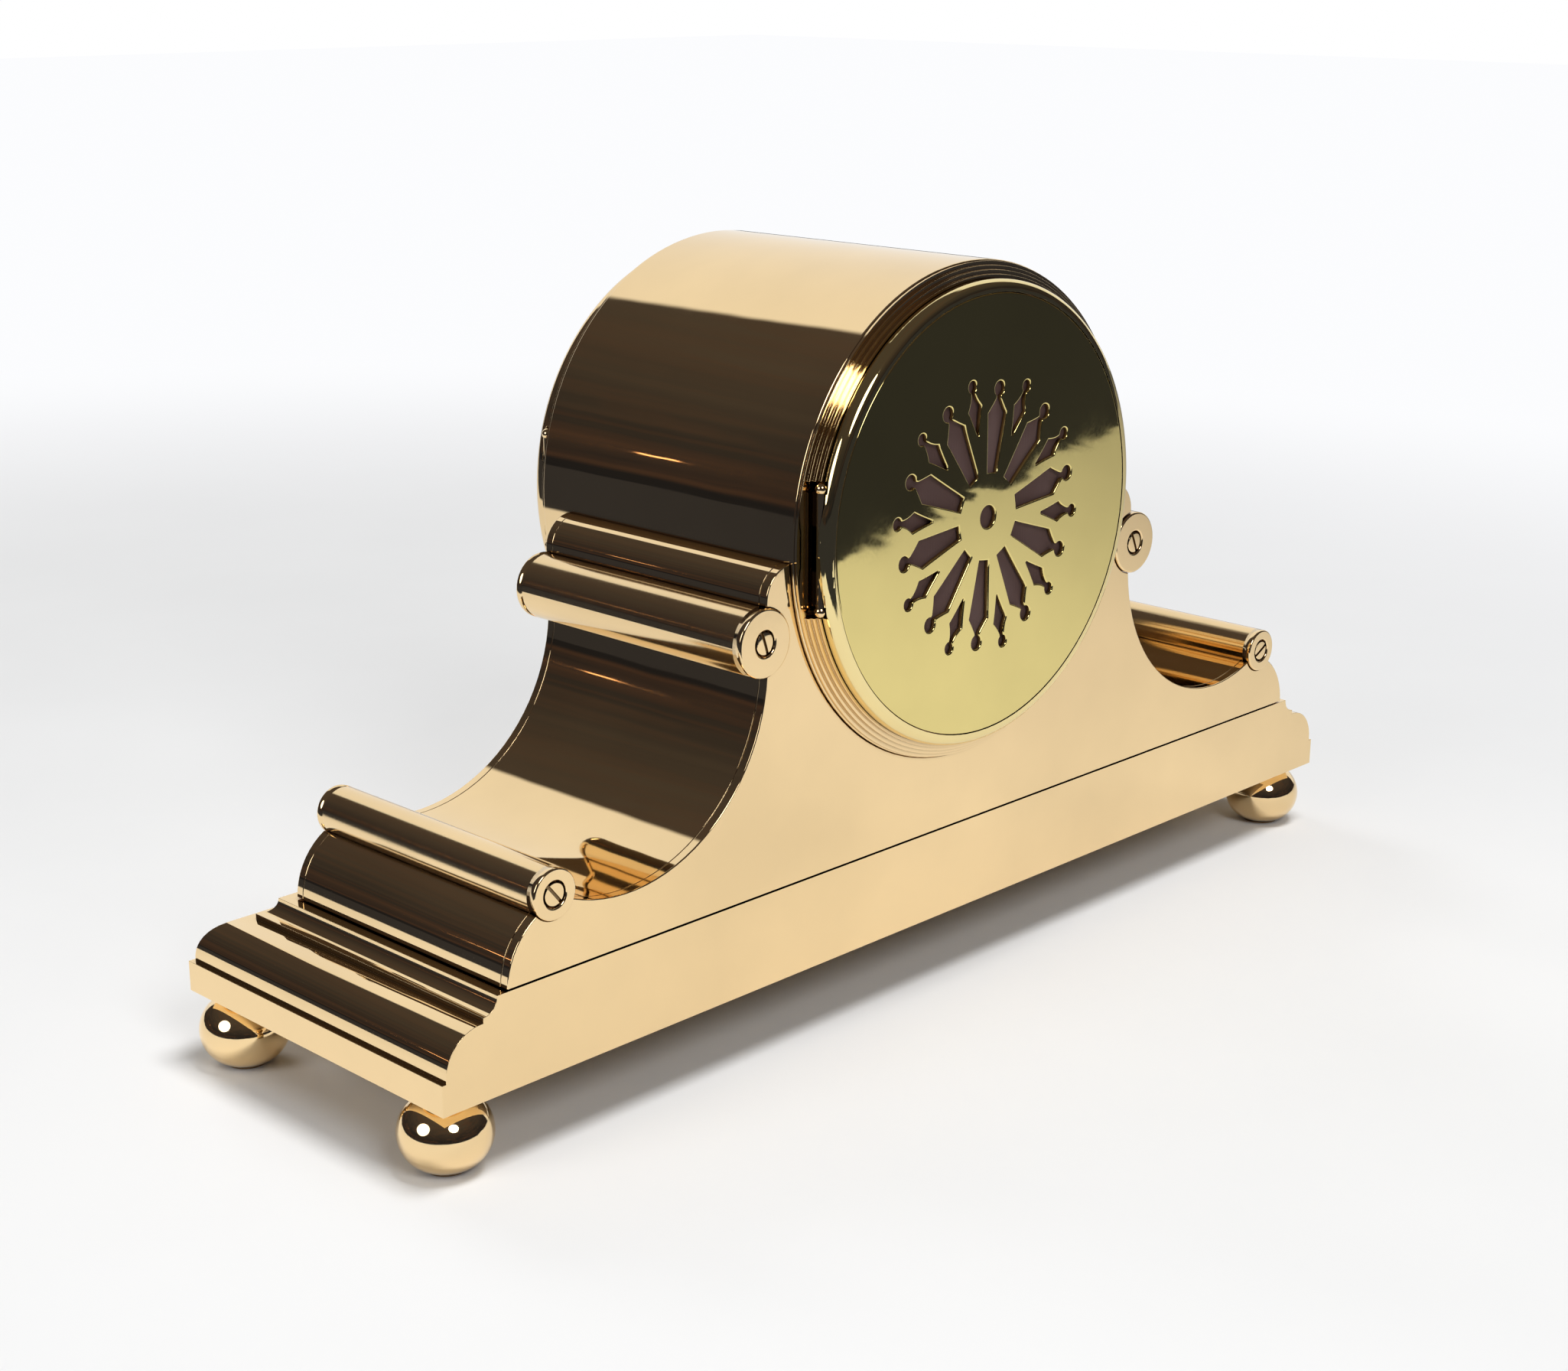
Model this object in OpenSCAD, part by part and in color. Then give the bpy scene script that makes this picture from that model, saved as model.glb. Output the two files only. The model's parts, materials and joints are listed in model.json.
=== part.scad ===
// Brass tambour mantel clock: moulded base on bun feet, arched case with tie rods, drum
// with a hinged pierced rear door and a hinged glazed bezel, eight-day striking movement.
// Millimetres, +Z up, length along X, dial towards -Y, rear door towards +Y.
// Origin: middle of the footprint, on the surface that the feet stand on.

/* [Base] */
// Length of the base over its lip
base_l = 400; // [390:1:440]
// Depth of the base over its lip, from the flush rear face
base_d = 115; // [115:1:125]
// Height of the plain lip at the bottom
lip_h = 9; // [7:0.5:12]
// Step from the lip to the large round
lip_in = 1.4; // [0.8:0.1:2]
// Upright between the lip and the large round
quirk_h = 1; // [0.5:0.1:2]
// Radius of the large round
ovolo_r = 11.8; // [10:0.1:13]
// Step from the large round to the riser
riser_in = 0.8; // [0.4:0.1:1.5]
// Height of the riser under the cove
riser_h = 1.5; // [1:0.1:3]
// Radius of the small cove at the top
cove_r = 4.7; // [3:0.1:6]
// Thickness of the base casting
base_wall = 4; // [3:0.5:5]
// Thickness of the plate that closes the base from below
base_plate_t = 2; // [1.5:0.5:3]

/* [Feet] */
// Width of a bun foot
foot_d = 26; // [22:1:30]
// Radius of the rounded rim of a foot
foot_round = 10.5; // [8:0.5:11]
// Width of the neck above a foot
foot_neck_d = 12; // [8:1:14]
// Height of the neck
foot_neck_h = 1; // [0.5:0.5:3]
// Foot centre in from each end of the base
foot_end_in = 10.5; // [10:0.5:20]
// Foot centre in from the front of the base
foot_front_in = 10.5; // [10:0.5:20]
// Foot centre in from the rear of the base
foot_rear_in = 13; // [10:0.5:20]
// Thickness of the stud in a foot
stud_d = 5; // [3:0.5:6]

/* [Case] */
// Ledge of the base beyond each end of the case
ledge_end = 3.5; // [2:0.5:6]
// Ledge of the base in front of the case
ledge_front = 4; // [3:0.5:8]
// Seam between the base and the case
seam_h = 0.4; // [0.2:0.1:0.8]
// Thickness of the front and rear plates
plate_t = 3; // [2:0.5:4]
// Thickness of the bent covers between the plates
skin_t = 2; // [1:0.5:3]
// Thickness of the case floor
floor_t = 3; // [2:0.5:5]
// Radius of the round end below the lower rod
end_r = 20.5; // [19:0.5:22]
// Lowest line of the sweep above the base
sweep_low = 15.5; // [14:0.5:18]
// Radius of the shoulder beside the drum
shoulder_r = 9.7; // [8:0.1:10.5]
// Shoulder face from the middle of the case
shoulder_out = 83.2; // [82:0.1:84]
// Shoulder centre above the base
shoulder_up = 85; // [84:0.5:88]

/* [Rods] */
// Width of the lower rods
lower_rod_d = 14.4; // [12:0.2:16]
// Lower rod centre in from the end of the case
lower_rod_in = 15.9; // [14:0.1:18]
// Lower rod centre above the base
lower_rod_up = 22.5; // [20:0.5:24]
// Width of the upper rods
upper_rod_d = 19.8; // [17:0.2:21]
// Upper rod centre from the middle of the case
upper_rod_out = 84.5; // [84:0.1:86]
// Upper rod centre above the base
upper_rod_up = 74.2; // [72:0.1:76]
// Thickness of the caps on the rod ends
cap_t = 3; // [2.5:0.5:4]
// How far a cap stands proud of its plate
cap_proud = 1; // [0.5:0.5:1.5]
// Width of the recess for a screw head
recess_d = 7.5; // [7:0.1:8]
// Depth of the recess
recess_depth = 1.6; // [1.2:0.1:2]
// Width of a screw head
head_d = 7.1; // [6:0.1:7.4]
// Thickness of the screw thread
shank_d = 4; // [3:0.5:4.5]

/* [Drum] */
// Width of the drum
drum_d = 148; // [144:1:150]
// Wall of the drum
drum_wall = 2.2; // [1.5:0.1:2.5]
// Drum centre above the base
drum_up = 97.5; // [97:0.5:102]
// Drum in front of the front plate
drum_front_out = 11.5; // [9:0.5:14]
// Drum behind the rear plate
drum_rear_out = 1.1; // [0.5:0.1:3]

/* [Rings and doors] */
// Width of the opening in both end rings
ring_bore = 122; // [118:1:123]
// Thickness of the flange on the drum's end
flange_t = 0.9; // [0.6:0.1:1.5]
// Width of each step of the ring moulding
ring_step = 1.2; // [1:0.1:1.6]
// Height of each step
ring_step_h = 1; // [0.8:0.1:1.2]
// Length of the ring's spigot in the drum
spigot_l = 6; // [4:0.5:9]
// Width of the rear door
rim_d = 138; // [137:0.5:139]
// Thickness of the rear door rim
rim_t = 3.8; // [3.5:0.1:5]
// Rounding of the rim's edge
rim_round = 2.8; // [2:0.1:3]
// Width of the pierced plate
fret_d = 130.6; // [129:0.2:131]
// Thickness of the pierced plate
fret_t = 1.6; // [1.2:0.1:1.8]
// Width of the front bezel
bezel_d = 140; // [138:0.5:141]
// Thickness of the front bezel
bezel_t = 5.4; // [5:0.1:7]
// Width of the bezel's face beside the glass
bezel_w = 12.5; // [11.5:0.5:14]
// Thickness of the glass
glass_t = 1.8; // [1.5:0.1:2.2]
// Rise of the domed glass
glass_rise = 2.4; // [1:0.1:2.6]

/* [Piercing] */
// Number of large piercings
petals = 10; // [8:1:12]
// Turn of the pattern, as the plate is fitted
fret_turn = 6; // [0:1:18]
// Radius of the centre hole
fret_hole_r = 3.4; // [2:0.1:5]
// Radius of a large bulb
bulb_r = 2.2; // [1.5:0.1:2.6]
// Large bulb centre from the middle
bulb_at = 37.6; // [36:0.1:40]
// Radius of a small bulb
small_bulb_r = 1.75; // [1.2:0.05:2]
// Small bulb centre from the middle
small_bulb_at = 40.1; // [38:0.1:42]

/* [Hinges] */
// Width of a hinge knuckle
knuckle_d = 2.6; // [2.2:0.1:2.8]
// Thickness of a hinge pin
pin_d = 1.2; // [0.8:0.1:1.4]
// Width of the balls on a pin
ball_d = 3.4; // [2.8:0.1:3.6]
// Length of the middle knuckle
knuckle_mid = 12.8; // [10:0.1:16]
// Length of each outer knuckle
knuckle_end = 9.8; // [8:0.1:12]
// Hinge pin in from the edge of its door
hinge_in = 1.8; // [1.6:0.1:2]
// Hinge middle above the drum's centre
hinge_up = 0.65; // [0:0.05:2]

/* [Dial and hands] */
// Thickness of the dial
dial_t = 1.5; // [1:0.1:2]
// Middle radius of the numerals
numeral_at = 46; // [42:0.5:47]
// Height of the numerals
numeral_h = 10; // [8:0.5:11]
// Radius of the inner edge of the minute track
track_r = 53; // [52.5:0.1:53.5]
// Length of the hour hand
hour_hand_l = 34; // [30:1:38]
// Length of the minute hand
minute_hand_l = 50; // [44:1:51]
// Hour that the hands show
hour_set = 10; // [1:1:12]
// Minute that the hands show
minute_set = 9; // [0:1:59]

/* [Movement] */
// Width of the movement plates
mplate_d = 104; // [100:1:110]
// Thickness of the movement plates
mplate_t = 2; // [1.5:0.1:2.5]
// Space between the movement plates
mgap = 32; // [31:0.5:34]
// Dial to the front movement plate
motion_gap = 8.5; // [8.5:0.1:10]
// Barrel centres from the middle, sideways
barrel_out = 24; // [24:0.1:25]
// Barrel centres below the middle
barrel_down = 14; // [13:0.1:15]
// Radius of the barrel drums
barrel_r = 18; // [16:0.1:18.4]
// Length of the barrel drums
barrel_l = 19; // [17:0.5:20]
// Radius of the sphere that the bell follows
bell_r = 45; // [44:0.5:46]
// Depth of the bell
bell_depth = 25; // [22:0.5:26]
// Thickness of the bell
bell_t = 1.6; // [1.2:0.1:2.5]

/* [Hidden] */
$fn = 96;

// Overrun of a cut past the face that it leaves
over = 1;
// Gap between fixed pieces that fit each other
fit = 0.1;
// Running clearance round a shaft
run = 0.05;
// Clear space beside what moves
clear = 0.3;

// Base and case places
base_h = lip_h + quirk_h + ovolo_r + riser_h + cove_r;
mould_out = lip_in + ovolo_r + riser_in + cove_r;
foot_h = 2 * foot_round + foot_neck_h;
foot_r = foot_d / 2;
base_top = foot_h + base_h;
ring_h = flange_t + 3 * ring_step_h;
rim_from = ring_h + clear;
door_out = drum_rear_out + rim_from + rim_t;
rear_y = (base_d + foot_r - foot_front_in - door_out) / 2;
front_y = rear_y - base_d;
case_half = base_l / 2 - mould_out - ledge_end;
case_d = base_d - mould_out - ledge_front;
case_front = rear_y - case_d;
inner_d = case_d - 2 * plate_t;
foot_x = base_l / 2 - foot_end_in;
foot_ys = [front_y + foot_front_in, rear_y - foot_rear_in];
case_screw_xs = [-case_half / 2, case_half / 2];
case_screw_y = rear_y - case_d / 2;
lower_rod_x = case_half - lower_rod_in;
// The sweep rises beside the shoulder's face and runs out under the lower rod
sweep_span_share = 0.668;
sweep_r = (lower_rod_x - shoulder_out) * sweep_span_share;
sweep_x = shoulder_out - clear + sweep_r;
sweep_up = sweep_low + sweep_r;
shoulder_x = shoulder_out - shoulder_r;
rod_places = [[-lower_rod_x, lower_rod_up, lower_rod_d], [lower_rod_x, lower_rod_up, lower_rod_d],
    [-upper_rod_out, upper_rod_up, upper_rod_d], [upper_rod_out, upper_rod_up, upper_rod_d]];
slot_turns = [25, -38, 62, -14, 70, 8, -55, 40];
slot_w = 1.2;
slot_depth = 0.8;
head_sunk = 0.2;
shank_l = 14;

// Drum and door places, with depths measured outwards from the drum's end
drum_r = drum_d / 2;
drum_z = base_top + drum_up;
drum_front_y = case_front - drum_front_out;
drum_rear_y = rear_y + drum_rear_out;
drum_l = drum_rear_y - drum_front_y;
drum_in_r = drum_r - drum_wall;
ring_under = 0.44;
ring_r = drum_r - ring_under;
ring_in_r = ring_bore / 2;
spigot_t = 3;
spigot_in_r = drum_in_r - fit - spigot_t;
hinge_off = ring_h + clear / 2;
knuckle_r = knuckle_d / 2;
hinge_half = knuckle_mid / 2 + knuckle_end;
leaf_t = 0.5;
leaf_w = 4;
rim_r = rim_d / 2;
notch_half = hinge_half + ball_d / 3 + ball_d / 2 + clear;
rim_top = rim_from + rim_t;
cloth_t = 0.5;
cloth_ring_t = 1;
cloth_ring_w = 4;
bezel_r = bezel_d / 2;
rear_pin_x = rim_r - hinge_in;
front_pin_x = bezel_r - hinge_in;
bezel_top = rim_from + bezel_t;
bezel_round = 3.2;
glass_open_r = bezel_r - bezel_w;
glass_edge = 3;
glass_r = glass_open_r + glass_edge;
glass_inset = 0.8;
glass_back = rim_from + glass_inset;
glass_ring_t = 0.6;
glass_seat = 0.12;
dome_edge_r = glass_open_r - clear;
dome_r = (dome_edge_r * dome_edge_r + glass_rise * glass_rise) / (2 * glass_rise);

// Piercing, as shares of the distance to the bulb
neck_share = 0.925;
shoulder_share = 0.807;
inner_share = 0.345;
small_neck_share = 0.94;
small_shoulder_share = 0.83;
small_tip_share = 0.625;
neck_w_share = 0.4;
shoulder_w_share = 1.9;
inner_w_share = 0.95;
small_shoulder_w_share = 1.65;
small_tip_w_share = 0.12;

// Depths behind the drum's front end, which is also the dial's face
front_plate_at = dial_t + motion_gap;
front_in_at = front_plate_at + mplate_t;
rear_in_at = front_in_at + mgap;
rear_out_at = rear_in_at + mplate_t;
platform_gap = 8.5;
platform_t = 1.5;
platform_at = rear_out_at + platform_gap;
cock_gap = 5.2;
cock_at = platform_at + platform_t + cock_gap;
cock_t = 1.2;
bell_gap = 19;
bell_rim_at = rear_out_at + bell_gap;
bell_top_at = bell_rim_at + bell_depth;
bell_rim_r = sqrt(bell_depth * (2 * bell_r - bell_depth));
bell_down = 6;
bell_centre = [0, -bell_down];
shake = 0.3;

// Train, with the teeth and the tooth size of each pair
barrel_teeth = 72;
barrel_m = 0.55;
second_leaves = 12;
second_teeth = 60;
second_m = 0.45;
centre_leaves = 10;
centre_teeth = 60;
centre_m = 0.45;
third_leaves = 8;
third_teeth = 64;
third_m = 0.36;
fourth_leaves = 8;
fourth_teeth = 60;
fourth_m = 0.36;
escape_leaves = 6;
escape_teeth = 15;
escape_r = 4.8;
pin_leaves = 12;
pin_teeth = 60;
pin_m = 0.4;
fly_leaves = 8;
cannon_leaves = 12;
minute_teeth = 36;
motion_m = 0.5;
minute_leaves = 10;
hour_teeth = 40;

// Tooth outline: half widths as shares of the pitch, heights as shares of the tooth size
root_w_share = 0.27;
tip_w_share = 0.11;
tip_h_share = 0.9;
root_h_share = 1.25;

arbor_r = 1;
fine_arbor_r = 0.7;
pivot_r = 0.5;
fine_pivot_r = 0.3;
staff_r = 0.5;
wheel_t = 1.2;
thin_t = 0.9;
great_t = 2.2;
hub_share = 0.16;
rim_w = 1.6;
spoke_w = 1.4;
cannon_r = 1.6;
pipe_r = 2.4;
winding_r = 2.5;
winding_pivot_r = 1.5;
barrel_wall = 1;
barrel_hub_r = 4;
winding_hole_r = 4;
ratchet_r = 8;
ratchet_t = 1.2;
ratchet_teeth = 20;
spring_t = 0.5;
spring_turns = 6;
hair_t = 0.2;
hair_turns = 5;
hair_r = 5.5;
stud_r = 0.8;
hammer_arbor_r = 1.2;
hammer_head_r = 3.5;
pillar_r = 3;
post_r = 2;
dial_foot_r = 2.5;
screw_r = 1;
screw_l = 5;
screw_head_r = 2;
screw_head_t = 1.2;
bell_post_r = 3;
bell_stud_r = 1.6;
nut_r = 4;

function polar(r, a) = [r * cos(a), r * sin(a)];
function turn_of(v) = atan2(v[1], v[0]);
function pair_gap(n1, n2, m) = (n1 + n2) * m / 2;
// Point at distances ra from a and rb from b, on the side given by s
function meet(a, ra, b, rb, s) =
    let (d = norm(b - a), u = (b - a) / d, t = (ra * ra - rb * rb + d * d) / (2 * d))
    a + t * u + s * sqrt(ra * ra - t * t) * [-u[1], u[0]];

// Arbor places in the dial plane, as X and height
centre_p = [0, 0];
time_p = [barrel_out, -barrel_down];
strike_p = [-barrel_out, -barrel_down];
second_p = meet(centre_p, pair_gap(second_teeth, centre_leaves, second_m), time_p,
    pair_gap(barrel_teeth, second_leaves, barrel_m), 1);
third_p = centre_p + polar(pair_gap(centre_teeth, third_leaves, centre_m), 111);
fourth_p = third_p + polar(pair_gap(third_teeth, fourth_leaves, third_m), 60);
escape_p = fourth_p + polar(pair_gap(fourth_teeth, escape_leaves, fourth_m), 0);
lever_gap = 6.8;
pallet_p = escape_p + [lever_gap, 0];
roller_gap = 8.4;
balance_p = pallet_p + [roller_gap, 0];
balance_r = 8;
pin_p = strike_p + polar(pair_gap(barrel_teeth, pin_leaves, barrel_m), 75);
fly_p = pin_p + polar(pair_gap(pin_teeth, fly_leaves, pin_m), 135);
minute_p = centre_p + polar(pair_gap(cannon_leaves, minute_teeth, motion_m), -90);
hour_m = 2 * norm(minute_p - centre_p) / (minute_leaves + hour_teeth);
hammer_out = 20;
hammer_rise = 15.7;
hammer_p = pin_p + [-hammer_out, hammer_rise];
strike_gap = 0.55;
head_turn = 168.7;
head_p = bell_centre + polar(bell_rim_r + hammer_head_r + strike_gap, head_turn);
lifting_r = 10;
tail_gap = 1.7;
tail_p = pin_p - [lifting_r + tail_gap, 0];
strap_turn = 25;
strap_r = 64.6;
strap_ps = [polar(strap_r, -strap_turn), polar(strap_r, 180 + strap_turn)];
strap_t = 4;
strap_w = 9;
strap_screw_r = 1.2;
strap_head_r = 2.1;
strap_head_t = 1.4;
// Places on the movement plates, as shares of their radius
pillar_shares = [[0, 0.885], [0, -0.885], [0.885, 0.23], [-0.885, 0.23]];
dial_foot_shares = [[0.577, 0.577], [-0.577, 0.577], [0, -0.769]];
pillar_ps = pillar_shares * mplate_d / 2;
dial_foot_ps = dial_foot_shares * mplate_d / 2;
platform_l = 28;
platform_w = 30;
platform_edge = 1.9;
platform_x = escape_p[0] - platform_edge;
platform_z = escape_p[1] - platform_w / 2;
post_in = 3.5;
platform_post_ps = [[platform_x + post_in, platform_z + post_in],
    [platform_x + platform_l - post_in, platform_z + post_in],
    [platform_x + post_in, platform_z + platform_w - post_in]];
cock_p = [platform_x + platform_l - post_in, platform_z + platform_w - post_in];
click_out = 4.2;
click_tip_out = 0.6;
click_p = polar(ratchet_r + click_out, -50);
click_tip = polar(ratchet_r + click_tip_out, -10);

// Layers, as depths behind the dial's face, each with its gap to the one before
end_shake = 0.3;
centre_gap = 0.5;
centre_at = front_in_at + centre_gap;
barrel_gap = 2;
barrel_at = front_in_at + barrel_gap;
great_at = barrel_at + barrel_l;
second_gap = 2.2;
second_at = great_at + great_t + second_gap;
third_gap = 2.5;
third_at = rear_in_at - third_gap;
fourth_gap = 0.8;
fourth_at = rear_out_at + fourth_gap;
escape_gap = 4.6;
escape_at = rear_out_at + escape_gap;
lever_lead = 0.2;
lever_at = escape_at - lever_lead;
roller_rise = 2;
roller_at = escape_at + roller_rise;
hair_gap = 0.7;
hair_at = platform_at + platform_t + hair_gap;
balance_gap = 2;
balance_at = platform_at + platform_t + balance_gap;
cannon_gap = 2.4;
cannon_at = front_plate_at - cannon_gap;
hour_gap = 1.4;
hour_at = dial_t + hour_gap;
ratchet_at = front_plate_at - shake - ratchet_t;
winding_tip_at = 2.5;
vane_gap = 4;
vane_at = front_in_at + vane_gap;
arm_rise = 1;
arm_at = bell_rim_at + arm_rise;

brass_c = "goldenrod";
fret_c = "khaki";
steel_c = "lightsteelblue";
cloth_c = "brown";

// Placing helpers
module behind(d, p = [0, 0]) {
    translate([p[0], drum_front_y + d, drum_z + p[1]]) rotate([-90, 0, 0]) children();
}
module at_rear() {
    translate([0, drum_rear_y, drum_z]) children();
}
module at_front() {
    translate([0, drum_front_y, drum_z]) mirror([0, 1, 0]) children();
}
module both_ends() {
    at_rear() children();
    at_front() children();
}
module turned() {
    rotate([-90, 0, 0]) rotate_extrude($fn = 180) children();
}
module depth(y0, y1) {
    translate([0, y1, 0]) rotate([90, 0, 0]) linear_extrude(height = y1 - y0) children();
}
module disc(r, h) {
    cylinder(r = r, h = h);
}
// A through hole in a plate that is drawn inside behind()
module drill(p, r, t) {
    translate([p[0], -p[1], -over]) disc(r, t + 2 * over);
}
// A straight bar between two points, with round ends
module bar_2d(a, b, w) {
    n = w / 2 * [a[1] - b[1], b[0] - a[0]] / norm(b - a);
    polygon([a + n, b + n, b - n, a - n]);
    translate(a) circle(d = w, $fn = 24);
    translate(b) circle(d = w, $fn = 24);
}

// Base moulding, seen from its end: half of the length
module mould_half(half) {
    x1 = half - lip_in;
    x2 = x1 - ovolo_r;
    z1 = lip_h + quirk_h;
    z2 = z1 + ovolo_r;
    z3 = z2 + riser_h;
    square([half, lip_h]);
    square([x1, z1]);
    square([x2, z2]);
    intersection() {
        translate([x2, z1]) circle(r = ovolo_r);
        translate([x2, z1]) square(ovolo_r);
    }
    difference() {
        square([x2 - riser_in, base_h]);
        translate([x2 - riser_in, z3 + cove_r]) circle(r = cove_r);
    }
}

module base_solid() {
    intersection() {
        depth(front_y, rear_y) {
            mould_half(base_l / 2);
            mirror([1, 0]) mould_half(base_l / 2);
        }
        translate([-base_l / 2, rear_y, 0]) rotate([90, 0, 90])
            linear_extrude(height = base_l) mirror([1, 0]) mould_half(base_d);
    }
}

module base_moulding() {
    pocket_l = base_l - 2 * (mould_out + base_wall);
    pocket_d = base_d - mould_out - 2 * base_wall;
    color(brass_c) translate([0, 0, foot_h]) difference() {
        base_solid();
        translate([-pocket_l / 2, rear_y - base_wall - pocket_d, -over])
            cube([pocket_l, pocket_d, base_h - base_wall + over]);
        for (x = [-foot_x, foot_x], y = foot_ys)
            translate([x, y, -over]) disc(stud_d / 2 + fit, lip_h + over);
        for (x = case_screw_xs)
            translate([x, case_screw_y, 0]) disc(shank_d / 2 + fit, base_h + over);
    }
}

module base_plate() {
    l = base_l - 2 * (mould_out + base_wall + fit);
    d = base_d - mould_out - 2 * (base_wall + fit);
    color(brass_c) translate([-l / 2, rear_y - base_wall - fit - d, foot_h]) difference() {
        cube([l, d, base_plate_t]);
        for (x = case_screw_xs)
            translate([x + l / 2, case_screw_y - rear_y + base_wall + fit + d, -over])
                disc(shank_d / 2 + fit, base_plate_t + 2 * over);
    }
}

module feet() {
    rim_c = foot_r - foot_round;
    color(brass_c) for (x = [-foot_x, foot_x], y = foot_ys) translate([x, y, 0])
        difference() {
            union() {
                rotate_extrude() {
                    intersection() {
                        translate([rim_c, foot_round]) circle(r = foot_round);
                        square([foot_r, 2 * foot_round]);
                    }
                    square([rim_c, 2 * foot_round]);
                }
                disc(foot_neck_d / 2, foot_h);
            }
            translate([0, 0, foot_round]) disc(stud_d / 2 + fit, foot_h);
        }
}

module base_screws() {
    // Studs that hold the feet
    color(steel_c) for (x = [-foot_x, foot_x], y = foot_ys)
        translate([x, y, foot_round + clear])
            disc(stud_d / 2, foot_round + foot_neck_h + lip_h - 2 * clear);
    // Screws from under the base up into the case floor, with slotted heads
    screw_l = base_h + floor_t;
    color(brass_c) for (x = case_screw_xs) translate([x, case_screw_y, foot_h]) {
        disc(shank_d / 2, screw_l);
        translate([0, 0, -recess_depth]) slotted_head();
    }
}

module slotted_head(r = head_d / 2, t = recess_depth) {
    difference() {
        disc(r, t);
        translate([-r - over, -slot_w / 2, -over]) cube([2 * (r + over), slot_w, slot_depth + over]);
    }
}

// Outline of the case, right half, with the base's top at zero
module case_half_2d() {
    difference() {
        union() {
            square([lower_rod_x, sweep_up]);
            square([case_half - end_r, end_r]);
            intersection() {
                translate([case_half - end_r, 0]) circle(r = end_r);
                translate([case_half - end_r, 0]) square([end_r, lower_rod_up]);
            }
            square([shoulder_out, shoulder_up]);
            square([shoulder_x, shoulder_up + shoulder_r]);
            intersection() {
                translate([shoulder_x, shoulder_up]) circle(r = shoulder_r);
                translate([shoulder_x, shoulder_up]) square(shoulder_r);
            }
        }
        translate([sweep_x, sweep_up]) circle(r = sweep_r);
    }
}

module case_outline() {
    difference() {
        union() {
            case_half_2d();
            mirror([1, 0]) case_half_2d();
        }
        square([base_l, 2 * seam_h], center = true);
        for (p = rod_places) translate([p[0], p[1]]) circle(d = p[2] + 2 * fit);
        translate([0, drum_up]) circle(r = drum_r + fit);
    }
}

module case_plate(y) {
    color(brass_c) translate([0, 0, base_top]) depth(y, y + plate_t) case_outline();
}
module front_plate() case_plate(case_front);
module rear_plate() case_plate(rear_y - plate_t);

module between_plates() {
    color(brass_c) translate([0, 0, base_top])
        depth(case_front + plate_t, rear_y - plate_t) children();
}

module rod_gaps() {
    for (p = rod_places) translate([p[0], p[1]]) circle(d = p[2] + 2 * fit);
}

module end_cover_2d() {
    difference() {
        intersection() {
            translate([case_half - end_r, 0]) circle(r = end_r);
            translate([case_half - end_r, seam_h]) square([end_r, lower_rod_up]);
        }
        translate([case_half - end_r, 0]) circle(r = end_r - skin_t);
        rod_gaps();
    }
}

module end_covers() {
    between_plates() {
        end_cover_2d();
        mirror([1, 0]) end_cover_2d();
    }
}

module sweep_2d() {
    difference() {
        intersection() {
            translate([sweep_x, sweep_up]) circle(r = sweep_r + skin_t);
            union() {
                square([lower_rod_x, sweep_up]);
                square([sweep_x - sweep_r + skin_t, upper_rod_up]);
            }
        }
        translate([sweep_x, sweep_up]) circle(r = sweep_r);
        rod_gaps();
    }
}
module sweep_left() between_plates() mirror([1, 0]) sweep_2d();
module sweep_right() between_plates() sweep_2d();

module shoulder_2d() {
    difference() {
        union() {
            translate([shoulder_out - skin_t, upper_rod_up]) square([skin_t, shoulder_up - upper_rod_up]);
            difference() {
                intersection() {
                    translate([shoulder_x, shoulder_up]) circle(r = shoulder_r);
                    translate([shoulder_x, shoulder_up]) square(shoulder_r);
                }
                translate([shoulder_x, shoulder_up]) circle(r = shoulder_r - skin_t);
            }
        }
        rod_gaps();
        translate([0, drum_up]) circle(r = drum_r + fit);
    }
}
module shoulders() {
    between_plates() {
        shoulder_2d();
        mirror([1, 0]) shoulder_2d();
    }
}

module case_floor() {
    l = 2 * (case_half - skin_t - 2 * clear);
    d = inner_d - 2 * fit;
    color(brass_c) translate([0, case_screw_y, base_top]) difference() {
        translate([-l / 2, -d / 2, 0]) cube([l, d, floor_t]);
        for (x = case_screw_xs) translate([x, 0, -over]) disc(shank_d / 2 + fit, floor_t + 2 * over);
    }
}

// Rods run to the caps, which stand proud of the plates
rod_end = cap_t - cap_proud;
module tie_rods() {
    color(brass_c) for (p = rod_places) difference() {
        translate([p[0], 0, base_top + p[1]]) depth(case_front + rod_end, rear_y - rod_end)
            circle(d = p[2]);
        for (y = [case_front, rear_y - shank_l])
            translate([p[0], 0, base_top + p[1]]) depth(y, y + shank_l) circle(d = shank_d + 2 * fit);
    }
}

module rod_caps() {
    color(brass_c) for (p = rod_places, e = [0, 1])
        translate([p[0], e * (rear_y + cap_proud) + (1 - e) * (case_front - cap_proud), base_top + p[1]])
            rotate([e ? 90 : -90, 0, 0]) difference() {
                disc(p[2] / 2, cap_t);
                translate([0, 0, -over]) disc(recess_d / 2, recess_depth + over);
                disc(shank_d / 2 + fit, cap_t + over);
            }
}

module rod_screws() {
    color(brass_c) for (i = [0 : len(rod_places) - 1], e = [0, 1]) {
        p = rod_places[i];
        translate([p[0], e * (rear_y + cap_proud) + (1 - e) * (case_front - cap_proud), base_top + p[1]])
            rotate([e ? 90 : -90, 0, 0]) rotate([0, 0, slot_turns[2 * i + e]])
                translate([0, 0, head_sunk]) {
                    slotted_head(t = recess_depth - head_sunk);
                    translate([0, 0, slot_depth + head_sunk])
                        disc(shank_d / 2, shank_l - slot_depth - 2 * head_sunk - rod_end);
                }
    }
}

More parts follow.
